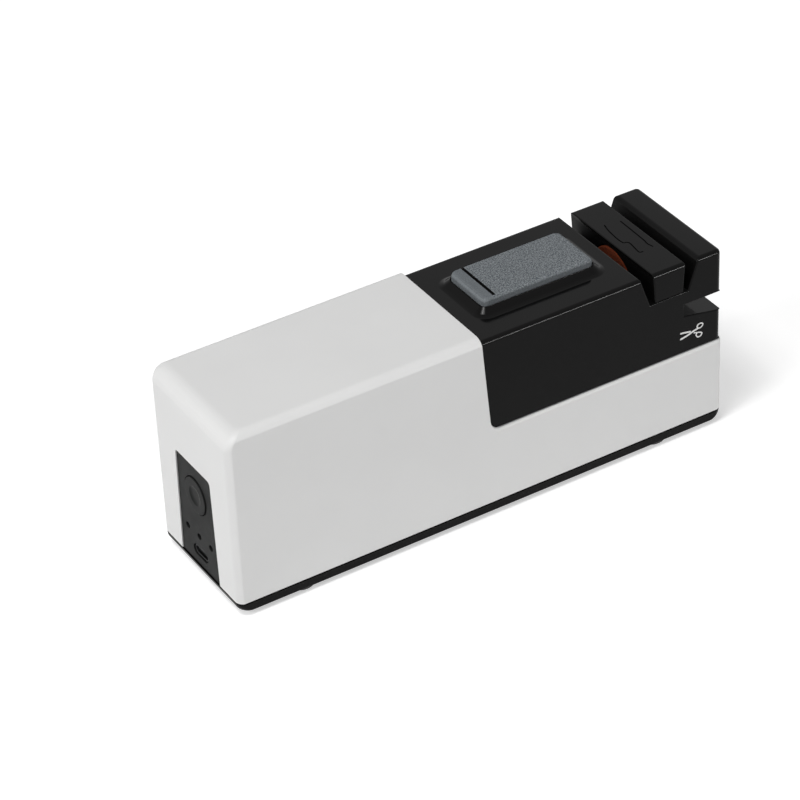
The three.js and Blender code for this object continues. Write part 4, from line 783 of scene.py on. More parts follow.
def make_head(head):
    under_top = HEIGHT - INNER - HEAD_WALL
    post_top = under_top + HEAD_WALL / 2
    inside_end = HALF_L - INNER - HEAD_WALL
    floor_left = VALLEY_X - VALLEY_FLOOR_W / 2 - HEAD_WALL
    under_valley, inside_notch = VALLEY_Z - HEAD_WALL, NOTCH_X - HEAD_WALL
    low = SKIRT_Z - OVER
    tucked = sleeve_form("tucked", INNER, low)
    common(tucked, slab("keep", LIP_X, HALF_L, -HALF_W, HALF_W, SKIRT_Z, WINDOW_Z + GAP + KEEP))
    lip = sleeve_form("lip", INNER, low)
    common(lip, slab("keep", LIP_X, SEAM_X + LIP_LONG, -HALF_W, HALF_W,
                     SKIRT_Z, HEAD_TOP - LIP_DROP))
    joined(head, tucked, lip)
    half = HALF_W - INNER - HEAD_WALL
    cut(head, drawn("inside", [
        (LIP_X - OVER, low), (LIP_X - OVER, under_top),
        (VALLEY_X - VALLEY_TOP_W / 2 - HEAD_WALL, under_top),
        (floor_left, under_valley), (inside_notch, under_valley),
        (inside_notch, notch_floor(inside_notch) - HEAD_WALL),
        (inside_end, notch_floor(inside_end) - HEAD_WALL), (inside_end, low)], "Y", -half, half))
    ribs = [slab("rib", x - RIB_T / 2, x + RIB_T / 2, -RIB_HALF, RIB_HALF,
                 AXIS_Z + RIB_RISE, post_top) for x in RIB_PLACES]
    for rib in ribs:
        cut(rib, rod("motor_room", "X", MOTOR_ROOM_R, MOTOR_FROM, MOTOR_TO, (0, AXIS_Z)))
    posts = (rods("post", "Z", POST_R, FRAME_TOP + GAP, post_top, FRAME_SCREWS)
             + rods("long_post", "Z", BOSS_R, BOSS_Z, post_top, LONG_SCREWS))
    joined(head, seat_island(), *ribs, *posts)
    pocket_z = STONE_TOP - STONE_THICK - GAP
    pilots = [pilot for radius, start, end, places in (
        (SMALL_R, FRAME_TOP - OVER, FRAME_TOP + FRAME_PILOT, FRAME_SCREWS),
        (SCREW_R, BOSS_Z - OVER, BOSS_TOP - WALL, LONG_SCREWS),
        (SMALL_R, under_valley - OVER, VALLEY_Z + OVER, GUIDE_SCREWS),
    ) for pilot in rods("pilot", "Z", radius + HOLE, start, end, places)]
    cut(head, stacked("pocket", [seat_ring(GAP, pocket_z), seat_ring(GAP, pocket_z + OVER)]),
        wheel_well("well"),
        rod("passage", "X", PASSAGE_R, PASSAGE_FROM, COARSE_X, (0, AXIS_Z)), *pilots)
    return softened(head, 0)


dressed(make_head(head), head_plastic, "housing", "head_housing")

# %% [markdown]
# ## The guide block
# A separate wall stands in the valley and makes two slots of it. It is a little narrower at the
# foot, so a blade is led down to the wheels. The outline of a kitchen knife is engraved on its
# top, to say what the slots are for: two smooth lines through a few points, cut as strokes.

# %% Guide block with its engraved mark
GUIDE_FLOOR_W, GUIDE_TOP_W = 12.1, 13.7
MARK_WIDTH, MARK_DEPTH, MARK_CLEAR = 0.5, 0.45, 1
GUIDE_PILOT, MITRE_LEAST, CURVE_STEPS = 7, 0.4, 5


def stroke(points, width, closed=False):
    """The outline of a line of even width, with mitred corners."""
    count = len(points)
    here = [Vector(p) for p in points]
    left, right = [], []
    for i, p in enumerate(here):
        before = here[i - 1] if (i or closed) else p - (here[1] - p)
        after = here[(i + 1) % count] if (i + 1 < count or closed) else p + (p - here[i - 1])
        a, b = (p - before).normalized(), (after - p).normalized()
        across = Vector((-a.y - b.y, a.x + b.x)).normalized()
        reach = width / 2 / max(MITRE_LEAST, across.dot(Vector((-a.y, a.x))))
        left.append(p + across * reach)
        right.append(p - across * reach)
    if closed:
        return left, right
    return [tuple(p) for p in left + right[::-1]]


def curve_through(points, closed=False):
    """A smooth line through the points, by Catmull and Rom's rule."""
    ends = [points[-1]] + points + points[:2] if closed else [points[0]] + points + [points[-1]]
    ends = [Vector(p) for p in ends]
    line = []
    for a, b, c, d in zip(ends, ends[1:], ends[2:], ends[3:]):
        for t in (k / CURVE_STEPS for k in range(CURVE_STEPS)):
            line.append((2 * b + (c - a) * t + (2 * a - 5 * b + 4 * c - d) * t ** 2
                         + (3 * b - a - 3 * c + d) * t ** 3) / 2)
    return [tuple(p) for p in (line if closed else line + [ends[-1]])]


KNIFE_MARKS = [
    [(80.9, 9.9), (80.8, 5.8), (80.7, 0.3), (80.5, -5.4), (80.2, -7.6), (80.8, -10.2)],
    [(74.8, 11.0), (74.2, 8.7), (73.8, 6.3), (73.4, 1.0), (73.7, -2.2), (74.9, -2.7), (75.4, -4.0),
     (75.0, -7.4), (74.8, -10.3), (76.2, -10.8)],
]


def make_guide():
    floor = VALLEY_Z + GAP
    guide = weighted_prism("guide_wall", [
        (VALLEY_X - GUIDE_FLOOR_W / 2, floor, 0.2, 0.2),
        (VALLEY_X + GUIDE_FLOOR_W / 2, floor, 0.2, 0.6),
        (VALLEY_X + GUIDE_TOP_W / 2, HEAD_TOP, 0.45, LONG_EDGE_R),
        (VALLEY_X - GUIDE_TOP_W / 2, HEAD_TOP, 0.45, 0.6),
    ], HEAD_HALF_W)
    marks = [drawn("mark", stroke(curve_through(line), MARK_WIDTH), "Z", HEAD_TOP - MARK_DEPTH,
                   HEAD_TOP + MARK_CLEAR) for line in KNIFE_MARKS]
    pilots = rods("pilot", "Z", SMALL_R + HOLE, floor - OVER, floor + GUIDE_PILOT, GUIDE_SCREWS)
    cut(guide, wheel_well("well"), *pilots, *marks)
    return softened(guide, 0)


dressed(make_guide(), head_plastic, "housing", "guide_block")

# %% [markdown]
# ## The whetstone
# A bonded stone is pressed grit. Its faces are flat but never smooth, its arrises crumble, and
# this one has a groove across it near one end. The block is remeshed finely, and then each point
# is moved inwards by noise, most near the arrises, so the chips are in the mesh itself.

# %% Whetstone
STONE_CORNER, STONE_EDGE, STONE_END, STONE_FOOT = 2.0, 0.8, 1.7, 0.3
GROOVE_IN, GROOVE_W, GROOVE_D, GROOVE_STOP = 5.0, 1.0, 0.9, 1.0
GROOVE_FROM = STONE_X - STONE_LONG / 2 + GROOVE_IN - GROOVE_W / 2
STONE_DETAIL, GRID_SHARE = 8, 0.92
CHIP_DEPTH, CHIP_PITCH, CRUMB_PITCH, CRUMB_SHARE = 0.5, 1.7, 4.1, 0.4
CHIP_START, CHIP_REACH = 0.05, 0.35
GRIT_DEPTH, GRIT_PITCH = 0.05, 2.9
CORE_LONG, CORE_WIDE, CORE_RISE = 0.9, 0.8, 1.2


def half_noise(place):
    """Noise from 0 to 1."""
    return noise.noise(place) * 0.5 + 0.5


def make_stone():
    low = STONE_TOP - STONE_THICK
    half_long, half_wide = STONE_LONG / 2, STONE_WIDE / 2
    stone = rounded_block("whetstone_block", STONE_X - half_long, STONE_X + half_long, half_wide,
                          low, STONE_TOP, STONE_CORNER, STONE_END, STONE_EDGE, STONE_FOOT,
                          STONE_FOOT)
    cut(stone, slab("groove", GROOVE_FROM, GROOVE_FROM + GROOVE_W, GROOVE_STOP - half_wide,
                    half_wide + OVER, STONE_TOP - GROOVE_D, STONE_TOP + OVER))
    grid = stone.modifiers.new("grid", "REMESH")
    grid.mode, grid.sharpness = "SHARP", 1.0
    grid.octree_depth, grid.scale = STONE_DETAIL, GRID_SHARE
    settle(stone)
    for vertex in stone.data.vertices:
        p = vertex.co / MM
        near = sorted((half_long - abs(p.x - STONE_X), half_wide - abs(p.y), STONE_TOP - p.z))[1]
        lumps = noise.noise(p * CHIP_PITCH) + CRUMB_SHARE * noise.noise(p * CRUMB_PITCH)
        crumbled = max(0, lumps - CHIP_START) * math.exp(-max(0, near) / CHIP_REACH)
        middle = Vector((STONE_X + (p.x - STONE_X) * CORE_LONG, p.y * CORE_WIDE, low + CORE_RISE))
        inward = CHIP_DEPTH * crumbled + GRIT_DEPTH * half_noise(p * GRIT_PITCH)
        vertex.co = (p + (middle - p).normalized() * inward) * MM
        vertex.co.z = max(vertex.co.z, low * MM)
    stone.data.shade_smooth()
    return stone


def bonded_grit(name, dark, light, grain, depth, gloss, groove=None, shine=0.25):
    """Pressed grit: pale and dark grains, open pores, a rough relief. A groove marks the
    whetstone: it is painted near black as shade, the end before it and the sides are smoother,
    and a pale painted highlight runs along the arris."""
    made = Finish(name, roughness=gloss, specular_ior_level=shine)
    grains = made.cells(grain)
    mottle = made.speckle(grain * 1.6, detail=4, rough=0.7)
    pick = made.ramp(mottle + made.speckle(grain * 0.6, detail=1) * 0.5, 0.64, 0.88)
    colour = made.tint(pick, dark, light)
    if groove:
        x, y, z = (part / MM for part in made.axes(made.place))
        smooth = made.maths("MAXIMUM", made.maths("LESS_THAN", x, groove[0]),
                            made.maths("LESS_THAN", z, ARRIS_LOW))
        colour = made.tint(smooth * WORN_SHARE, colour, made.tint(WORN_TONE, dark, light))
        # A pale band along the upper arrises of the sides and ends: a painted highlight.
        colour = made.tint(made.between(z, ARRIS_LOW, ARRIS_HIGH) * ARRIS_HIGHLIGHT_SHARE, colour, ARRIS_HIGHLIGHT)
        past_stop = made.maths("GREATER_THAN", y, GROOVE_STOP - STONE_WIDE / 2)
        in_groove = made.between(x, *groove) * past_stop
        # The groove is painted near black: painted shade in the recess.
        colour = made.tint(in_groove, colour, GROOVE_SHADE)
    made.feed("Base Color", colour)
    pores = made.ramp(grains, 0.15, 0.75)
    bed = made.relief(mottle, depth)
    made.feed("Normal", made.relief(1 - pores, depth * 0.8, bed))
    return made.material


# Near-black painted shade for the groove, and the pale colour of the painted highlight along the
# arrises.
GROOVE_SHADE, ARRIS_HIGHLIGHT = (0.004, 0.004, 0.004, 1), (0.36, 0.39, 0.40, 1)
ARRIS_LOW, ARRIS_HIGH, ARRIS_HIGHLIGHT_SHARE = STONE_TOP - 1.1, STONE_TOP - 0.4, 0.2
WORN_SHARE, WORN_TONE = 0.75, 0.36
GROOVE_BAND = (GROOVE_FROM - 0.05, GROOVE_FROM + GROOVE_W + 0.15)
stone_grit = bonded_grit("blue_grey_grit", (0.066, 0.077, 0.088, 1), (0.316, 0.338, 0.351, 1),
                         0.32, 0.08, 0.9, groove=GROOVE_BAND, shine=0.08)
dressed(make_stone(), stone_grit, "housing", "whetstone")

# %% [markdown]
# ## Base plate
# The sleeve stands on a black tray. Only its edge shows, as a thin dark line, but turned over it
# carries the feet, the four screws and the ribs that hold the battery cell.

# %% Base plate
FOOT_R, FOOT_SEAT = 5.5, 0.8
FOOT_PLACES = [(x, y) for x in (-73.0, 73.0) for y in (19.8, -19.8)]
BASE_SCREWS = [(x, y) for x in (-SCREW_X, SCREW_X) for y in (-SCREW_Y, SCREW_Y)]
HEAD_R, HEAD_SINK = 2.8, 1.9
CELL_R, CELL_X, CELL_Z, CELL_REACH = 9.2, -47.0, 16.75, 65
TRAY_END_R, TRAY_SIDE_R = 3.3, 0.5
TONGUE_ROOT, TONGUE_CORNER, TONGUE_WALL = 1.7, 0.6, 1.6
CRADLES, CRADLE_T, CRADLE_HALF, CRADLE_RISE = (-69, -47, -25), 2.4, 11.6, 3.6


def make_base():
    base = rounded_block("base_tray", -HALF_L, HALF_L, HALF_W, BASE_Z, BASE_TOP, CORNER_R,
                         end_low=TRAY_END_R, side_low=TRAY_SIDE_R)
    rise, root = BASE_TOP + TONGUE_RISE, BASE_TOP - TONGUE_ROOT
    tongue = rounded_block("tongue", INNER - HALF_L, HALF_L - INNER, HALF_W - INNER, root, rise,
                           TONGUE_CORNER)
    hollow = INNER + TONGUE_WALL
    cut(tongue, slab("hollow", hollow - HALF_L, HALF_L - hollow, hollow - HALF_W, HALF_W - hollow,
                     BASE_TOP, rise + OVER))
    ribs = [slab("rib", x - CRADLE_T / 2, x + CRADLE_T / 2, -CRADLE_HALF, CRADLE_HALF, root,
                 CELL_Z + CRADLE_RISE) for x in CRADLES]
    for rib in ribs:
        cut(rib, rod("cell_room", "X", CELL_R + GAP, CELL_X - CELL_REACH, CELL_X + CELL_REACH,
                     (0, CELL_Z)))
    joined(base, tongue, *ribs)
    tools = rods("foot_seat", "Z", FOOT_R + GAP, BASE_Z - OVER, BASE_Z + FOOT_SEAT, FOOT_PLACES)
    for place in BASE_SCREWS:
        tools.append(rod("head_seat", "Z", HEAD_R + HOLE, BASE_Z - OVER, BASE_Z + HEAD_SINK, place))
        tools.append(rod("shank_hole", "Z", SCREW_R + HOLE, BASE_Z, BASE_TOP + OVER, place))
    cut(base, *tools)
    return softened(base, EDGE / 2)


dressed(make_base(), black_plastic, "housing", "base_plate")

# %% [markdown]
# ## Control end
# The charcoal panel lies a little behind the end of the sleeve. It carries one push button with
# a dished face, three lamps and the charging socket. The button is its own piece on its own
# body, because it travels, so the panel has a real hole behind it.

# %% Panel and button
PANEL_FACE, PANEL_BACK = 0.4 - HALF_L, WALL - HALF_L
FLANGE_FRONT, FLANGE_T, FLANGE_RIM, FLANGE_RISE, ROOT = PANEL_BACK + GAP, 1.5, 2.4, 3.0, 0.4
FLANGE_BACK = FLANGE_FRONT + FLANGE_T
BOARD_FRONT = -88.6
POST_PLACES, PANEL_POST_R, POST_PILOT = [(side * 10.4, 44.6) for side in SIDES], 2.3, 5
PORT_Z, PORT_W, PORT_H, PORT_WALL = 11.2, 8.94, 3.26, 0.35
BUTTON_Z = PANEL_TOP_Z - (PANEL_TOP_Z - PORT_Z) * 0.34
LAMP_Z = PORT_Z + (BUTTON_Z - PORT_Z) * 0.293
BUTTON_FACE, BUTTON_R, DISH_R, DISH, DISH_STEPS = PANEL_FACE - 0.36, 7.0, 3.9, 0.4, 16
BUTTON_RIM, RIM_T, BUTTON_ROUND, STEM_R = 8.0, 0.9, 0.3, 1.8
SWITCH_T, PLUNGER_T = 3.4, 1.2
LAMPS_Y, LAMP_R, LAMP_SINK = (8.0, 0.0, -8.0), 0.9, 0.6
PANEL_GAP, PORT_GAP, PANEL_EDGE = 0.12, 0.5, 0.2


def slot_outline(width, height, z):
    r, steps = height / 2, ROUND_STEPS * 2
    right = [(-math.pi / 2 + k / steps * math.pi) for k in range(steps + 1)]
    return ([(width / 2 - r + r * math.cos(a), z + r * math.sin(a)) for a in right]
            + [(r - width / 2 - r * math.cos(a), z - r * math.sin(a)) for a in right])


def make_panel():
    flange_z = BASE_TOP + FLANGE_RISE
    panel = drawn("control_panel", panel_outline(-PANEL_GAP, SLEEVE_Z), "X", PANEL_FACE, PANEL_BACK)
    joined(panel, drawn("neck", panel_outline(-GAP, flange_z), "X", PANEL_BACK - ROOT, FLANGE_BACK),
           drawn("flange", panel_outline(FLANGE_RIM, flange_z), "X", FLANGE_FRONT, FLANGE_BACK),
           *rods("post", "X", PANEL_POST_R, FLANGE_BACK - ROOT, BOARD_FRONT - GAP, POST_PLACES))
    front, back = PANEL_FACE - OVER, FLANGE_BACK + OVER
    button = (0, BUTTON_Z)
    port = slot_outline(PORT_W + 2 * PORT_GAP, PORT_H + 2 * PORT_GAP, PORT_Z)
    cut(panel, *rods("pilot", "X", SMALL_R + HOLE, BOARD_FRONT - POST_PILOT, BOARD_FRONT + OVER,
                     POST_PLACES),
        *rods("lamp_hole", "X", LAMP_R + HOLE, front, back, [(y, LAMP_Z) for y in LAMPS_Y]),
        rod("button_hole", "X", BUTTON_R + GAP, front, back, button, FINE_STEPS),
        rod("rim_room", "X", BUTTON_RIM + GAP, PANEL_BACK, back, button, FINE_STEPS),
        drawn("port_hole", port, "X", front, back))
    return softened(panel, PANEL_EDGE)


def make_button():
    rim_front = PANEL_BACK + GAP
    back = rim_front + RIM_T
    tip = BOARD_FRONT - GAP - SWITCH_T - PLUNGER_T - GAP
    shares = [k / DISH_STEPS for k in range(DISH_STEPS + 1)]
    profile = [(BUTTON_FACE + DISH * (1 - share ** 4), DISH_R * share) for share in shares]
    soft = BUTTON_ROUND
    profile += [(BUTTON_FACE + soft - soft * math.cos(a), BUTTON_R - soft + soft * math.sin(a))
                for a in ROUNDING]
    profile += [(rim_front, BUTTON_R), (rim_front, BUTTON_RIM), (back, BUTTON_RIM), (back, STEM_R),
                (tip, STEM_R), (tip, 0)]
    return softened(turned("push_button", profile, "X", (0, BUTTON_Z), FINE_STEPS), 0)


dressed(make_panel(), charcoal_plastic, "housing", "rear_panel")
dressed(make_button(), charcoal_plastic, "button", "power_button")

# %% [markdown]
# ## The scissors mark
# A small pair of scissors is printed in white beside the slot that takes them. Print has almost
# no thickness, but a flat decal would fight with the plastic behind it. So each stroke is a thin
# solid, sunk into the side and standing a few hundredths of a millimetre proud.

# %% Scissors mark
PRINT_PROUD, PRINT_SUNK, PRINT_STEP, PRINT_CLEAR = 0.04, 0.15, 0.002, 1.0
BLADES = [
    ([(81.7, 42.0), (84.8, 42.6), (87.0, 43.3), (89.6, 44.0)], 0.70),
    ([(81.7, 44.5), (83.6, 44.2), (86.2, 43.7)], 0.66),
    ([(87.5, 42.6), (89.0, 42.2)], 0.50),
]
RINGS = [
    [(89.4, 43.9), (88.9, 44.8), (89.5, 45.5), (90.7, 45.6), (91.4, 45.0), (91.1, 44.2),
     (90.3, 43.8)],
    [(88.9, 42.1), (90.1, 41.9), (91.0, 41.3), (90.8, 40.6), (90.1, 40.1), (89.2, 40.3),
     (88.6, 41.1)],
]
RING_WIDTH = 0.48


def print_stroke(outline, extra=0.0):
    return drawn("scissors_mark", outline, "Y", -HEAD_HALF_W - PRINT_PROUD - extra,
                 PRINT_SUNK - HEAD_HALF_W + extra)


def ring_stroke(points, extra):
    left, right = stroke(curve_through(points, closed=True), RING_WIDTH, closed=True)
    outer, inner = sorted((left, right), key=lambda line: -max(p.x for p in line))
    return cut(print_stroke([tuple(p) for p in outer], extra),
               print_stroke([tuple(p) for p in inner], PRINT_CLEAR))


def make_scissors_mark():
    """Each stroke is a hair prouder than the last, so that no two fronts share a plane."""
    strokes = [print_stroke(stroke(curve_through(line), width), PRINT_STEP * k)
               for k, (line, width) in enumerate(BLADES)]
    strokes += [ring_stroke(points, PRINT_STEP * k)
                for k, points in enumerate(RINGS, start=len(BLADES))]
    return shaded(joined(strokes[0], *strokes[1:]))


white_print = moulded("white_print", (0.86, 0.86, 0.85, 1), 0.05, (0.5, 0.6), 0.12, 0.002)
mark = dressed(make_scissors_mark(), white_print, "housing")

# %% [markdown]
# ## Wheels
# Two wheels share the spindle: a coarse one under the first slot, and a fine one under the second
# slot, whose end face also works on scissors. Bonded grit again, so each is a turned profile that
# is divided finely and roughened by noise, always inwards, to stay clear of its well.

# %% Abrasive wheels
WHEEL_BORE, WHEEL_HUB_R, WHEEL_CHAMFER = 1.6, 4.2, 0.5
HUB_RECESS, END_RECESS, SCREW_ROOM_R = 0.6, 1.6, 3.1
WHEEL_GRIT, WHEEL_PITCH, WHEEL_STEP, WHEEL_STEPS, WHEEL_CORE = 0.06, 2.3, 0.8, 240, 0.9


def divided(profile, step):
    """A closed profile with no stretch longer than step."""
    fine = []
    for (x0, r0), (x1, r1) in zip(profile, profile[1:]):
        count = max(1, round(math.dist((x0, r0), (x1, r1)) / step))
        fine += [(x0 + (x1 - x0) * k / count, r0 + (r1 - r0) * k / count) for k in range(count)]
    return fine + [profile[-1]]


def make_wheel(name, x0, hub_recess, end_recess):
    x1 = x0 + WHEEL_T
    flank = WHEEL_R - WHEEL_CHAMFER
    profile = [(x0 + hub_recess, WHEEL_BORE), (x0 + hub_recess, WHEEL_HUB_R), (x0, WHEEL_HUB_R),
               (x0, flank), (x0 + WHEEL_CHAMFER, WHEEL_R), (x1 - WHEEL_CHAMFER, WHEEL_R),
               (x1, flank)]
    if end_recess:
        profile += [(x1, SCREW_ROOM_R), (x1 - end_recess, SCREW_ROOM_R)]
    profile.append((x1 - end_recess, WHEEL_BORE))
    wheel = turned(name, divided(profile + profile[:1], WHEEL_STEP), "X", (0, AXIS_Z), WHEEL_STEPS)
    for vertex in wheel.data.vertices:
        p = vertex.co / MM
        if math.hypot(p.y, p.z - AXIS_Z) > WHEEL_HUB_R:
            middle = Vector((x0 + WHEEL_T / 2, p.y * WHEEL_CORE,
                             AXIS_Z + (p.z - AXIS_Z) * WHEEL_CORE))
            vertex.co += (middle - p).normalized() * half_noise(p * WHEEL_PITCH) * WHEEL_GRIT * MM
    return shaded(wheel)


rust_grit = bonded_grit("rust_grit", (0.068, 0.010, 0.002, 1), (0.17, 0.030, 0.005, 1),
                        0.30, 0.05, 0.9)
pale_grit = bonded_grit("pale_grit", (0.40, 0.36, 0.30, 1), (0.66, 0.61, 0.53, 1),
                        0.22, 0.03, 0.85)
dressed(make_wheel("rust_wheel", COARSE_X, HUB_RECESS, 0), rust_grit, "spindle", "coarse_wheel")
dressed(make_wheel("pale_wheel", FINE_END - WHEEL_T, 0, END_RECESS), pale_grit, "spindle",
        "fine_wheel")

# %% [markdown]
# ## Metals, rubber and the finishes inside
# Zinc plating is a grey metal with a faint cloudy bloom, turned steel has fine rings or lines,
# and moulded rubber is dull with a slow change of gloss. The metals share one recipe: a metallic
# shader, a stretched noise for the tool marks, and a second, larger noise for stain.

# %% Finishes by slot
LINE_GRAIN, LINE_DEPTH, CLOUD_GRAIN = 0.12, 0.002, 3.5
WEAVE_SCALE = 900.0


def metal(name, colour, gloss, stretch=(1, 12, 12), stain=0.18):
    made = Finish(name, metallic=1.0)
    lines = made.speckle(LINE_GRAIN, detail=3, rough=0.6, stretch=stretch)
    cloud = made.ramp(made.speckle(CLOUD_GRAIN, detail=4, rough=0.6), 0.35, 0.70)
    dull = tuple(c * (1 - stain) for c in colour) + (1,)
    made.feed("Base Color", made.tint(cloud, colour + (1,), dull))
    made.feed("Roughness", gloss + lines * 0.10 + cloud * 0.12)
    made.feed("Normal", made.relief(lines, LINE_DEPTH))
    return made.material


def laminate():
    """Glass cloth under green solder mask, with the weave just showing."""
    made = Finish("green_laminate", specular_ior_level=0.5)
    weave = {"Vector": made.place, "Scale": WEAVE_SCALE, "Distortion": 0.6, "Detail": 1.0}
    along, across = (made.node("ShaderNodeTexWave", weave, {"bands_direction": axis}, out="Fac")
                     for axis in "YZ")
    cloth = along * across
    made.feed("Base Color", made.tint(cloth, (0.012, 0.085, 0.040, 1), (0.020, 0.150, 0.070, 1)))
    made.feed("Roughness", 0.30 + made.ramp(made.speckle(5), 0.4, 0.7) * 0.15)
    made.feed("Normal", made.relief(cloth, 0.008))
    return made.material


finish_of = {
    "white_housing": white_plastic,
    "black_plastic": black_plastic,
    "charcoal_plastic": charcoal_plastic,
    "whetstone_grit": stone_grit,
    "coarse_grit": rust_grit,
    "fine_grit": pale_grit,
    "foot_rubber": moulded("black_rubber", (0.018, 0.018, 0.018, 1), 0.3, (0.62, 0.80), 0.4, 0.012),
    "plated_steel": metal("zinc_plate", (0.56, 0.57, 0.59), 0.26, stretch=(1, 1, 1), stain=0.12),
    "bare_steel": metal("turned_steel", (0.55, 0.56, 0.58), 0.20, stretch=(14, 1, 1)),
    "bronze_brass": metal("turned_bronze", (0.62, 0.42, 0.18), 0.26, stretch=(14, 1, 1), stain=0.3),
    "copper": metal("tinned_copper", (0.70, 0.36, 0.20), 0.24, stain=0.3),
    "magnet_ferrite": moulded("sintered_ferrite", (0.050, 0.050, 0.054, 1), 0.35, (0.55, 0.75),
                              0.5, 0.02),
    "board_laminate": laminate(),
    "cell_wrap": moulded("blue_shrink_film", (0.035, 0.16, 0.36, 1), 0.15, (0.16, 0.28), 2.5, 0.02),
    "nylon": moulded("natural_nylon", (0.74, 0.72, 0.65, 1), 0.06, (0.38, 0.52), 0.5, 0.008),
    "lamp_pipe": moulded("smoked_lens", (0.010, 0.011, 0.013, 1), 0.2, (0.10, 0.18), 3.0, 0.004),
    "red_sleeving": moulded("red_silicone", (0.36, 0.018, 0.016, 1), 0.2, (0.45, 0.60), 0.8, 0.01),
    "black_sleeving": moulded("black_silicone", (0.016, 0.016, 0.017, 1), 0.3, (0.45, 0.60),
                              0.8, 0.01),
}
print("slots without a finish:", sorted(set(slot_of.values()) - set(finish_of)))

# %% [markdown]
# ## Geometry Nodes for what repeats
# Screws, feet and lamps are the same form in many places. A Geometry Nodes tree draws the form
# once from named sizes, puts a copy on every point of a small cloud, and makes the copies real.
# One class keeps such a tree readable, and one function runs it and keeps a plain mesh.

# %% A Geometry Nodes tree and its use


class GrowingTree(TreeWriter):
    """A Geometry Nodes tree that puts one form on each of the points that it is given."""

    def __init__(self, name, sizes):
        super().__init__(bpy.data.node_groups.new(name, "GeometryNodeTree"))
        face = self.tree.interface
        face.new_socket(name="Pieces", in_out="OUTPUT", socket_type="NodeSocketGeometry")
        face.new_socket(name="Places", in_out="INPUT", socket_type="NodeSocketGeometry")
        for size in sizes:
            face.new_socket(name=size, in_out="INPUT", socket_type="NodeSocketFloat")
        face.new_socket(name="Turn", in_out="INPUT", socket_type="NodeSocketRotation")
        face.new_socket(name="Finish", in_out="INPUT", socket_type="NodeSocketMaterial")
        self.start = self.tree.nodes.new("NodeGroupInput")

    def size(self, name):
        return Wire(self, self.start.outputs[name])

    def vector(self, x=0.0, y=0.0, z=0.0):
        return self.node("ShaderNodeCombineXYZ", {"X": x, "Y": y, "Z": z})

    def raised(self, form, z):
        return self.node("GeometryNodeTransform", {
            "Geometry": form, "Translation": self.vector(z=z)})

    def barrel(self, radius, low, height, around=32, along=1):
        form = self.node("GeometryNodeMeshCylinder", {
            "Vertices": around, "Side Segments": along, "Radius": radius, "Depth": height},
            {"fill_type": "NGON"})
        return self.raised(form, height / 2 + low)

    def nosed(self, form, depth, draw_in):
        """Rounds the low end of a form: over depth, the radius falls by the share draw_in."""
        place = self.node("GeometryNodeInputPosition")
        down = self.maths("MAXIMUM", 1 - self.axes(place)[2] / depth, 0.0)
        keep = 1 - draw_in * (1 - self.maths("SQRT", self.maths("MAXIMUM", 1 - down * down, 0.0)))
        where = self.node("ShaderNodeVectorMath", {0: place, 1: self.vector(keep, keep, 1.0)},
                          {"operation": "MULTIPLY"})
        return self.node("GeometryNodeSetPosition", {"Geometry": form, "Position": where})

    def combined(self, operation, first, *others):
        made = self.tree.nodes.new("GeometryNodeMeshBoolean")
        made.operation, made.solver = operation, "EXACT"
        if operation == "DIFFERENCE":
            self.tree.links.new(first.socket, made.inputs["Mesh 1"])
        else:
            others = (first,) + others
        for form in others:
            self.tree.links.new(form.socket, made.inputs["Mesh 2"])
        return Wire(self, made.outputs["Mesh"])

    def close(self, form):
        """A turned copy on each point, made real, with its finish."""
        turned_form = self.node("GeometryNodeTransform", {
            "Geometry": form, "Rotation": self.size("Turn")})
        copies = self.node("GeometryNodeInstanceOnPoints", {
            "Points": self.size("Places"), "Instance": turned_form})
        real = self.node("GeometryNodeRealizeInstances", {"Geometry": copies})
        painted = self.node("GeometryNodeSetMaterial", {
            "Geometry": real, "Material": self.size("Finish")})
        self.node("NodeGroupOutput", {"Pieces": painted})
        return self.tree


def grown(name, tree, places, finish, turn, **sizes):
    """Runs a tree on a cloud of points, in millimetres, and keeps the result as a plain mesh."""
    cloud = bpy.data.meshes.new(name)
    cloud.from_pydata([[c * MM for c in p] for p in places], [], [])
    piece = bpy.data.objects.new(name, cloud)
    scene.collection.objects.link(piece)
    step = piece.modifiers.new(tree.name, "NODES")
    step.node_group = tree
    sockets = {item.name: item.identifier for item in tree.interface.items_tree
               if item.in_out == "INPUT"}
    step[sockets["Turn"]], step[sockets["Finish"]] = turn, finish
    for size, value in sizes.items():
        step[sockets[size.replace("_", " ").capitalize()]] = value * MM
    return shaded(settle(piece))


# %% [markdown]
# A self-tapping screw is a domed head with a cross recess, a core that ends in a point, and a
# thread. The thread is a three-sided bar swept along a spiral, united with the core.

# %% Screw tree
# How much the dome draws in, then shares of the head's height, the core's radius and the pitch
DOME, CORE_START = 0.34, 0.8
CORE_STOP, THREAD_STOP, POINT_LONG, POINT_NECK, POINT_TIP, BAR_R = 1.5, 2.5, 2, 0.98, 0.15, 0.18
THREAD_START = 0.4


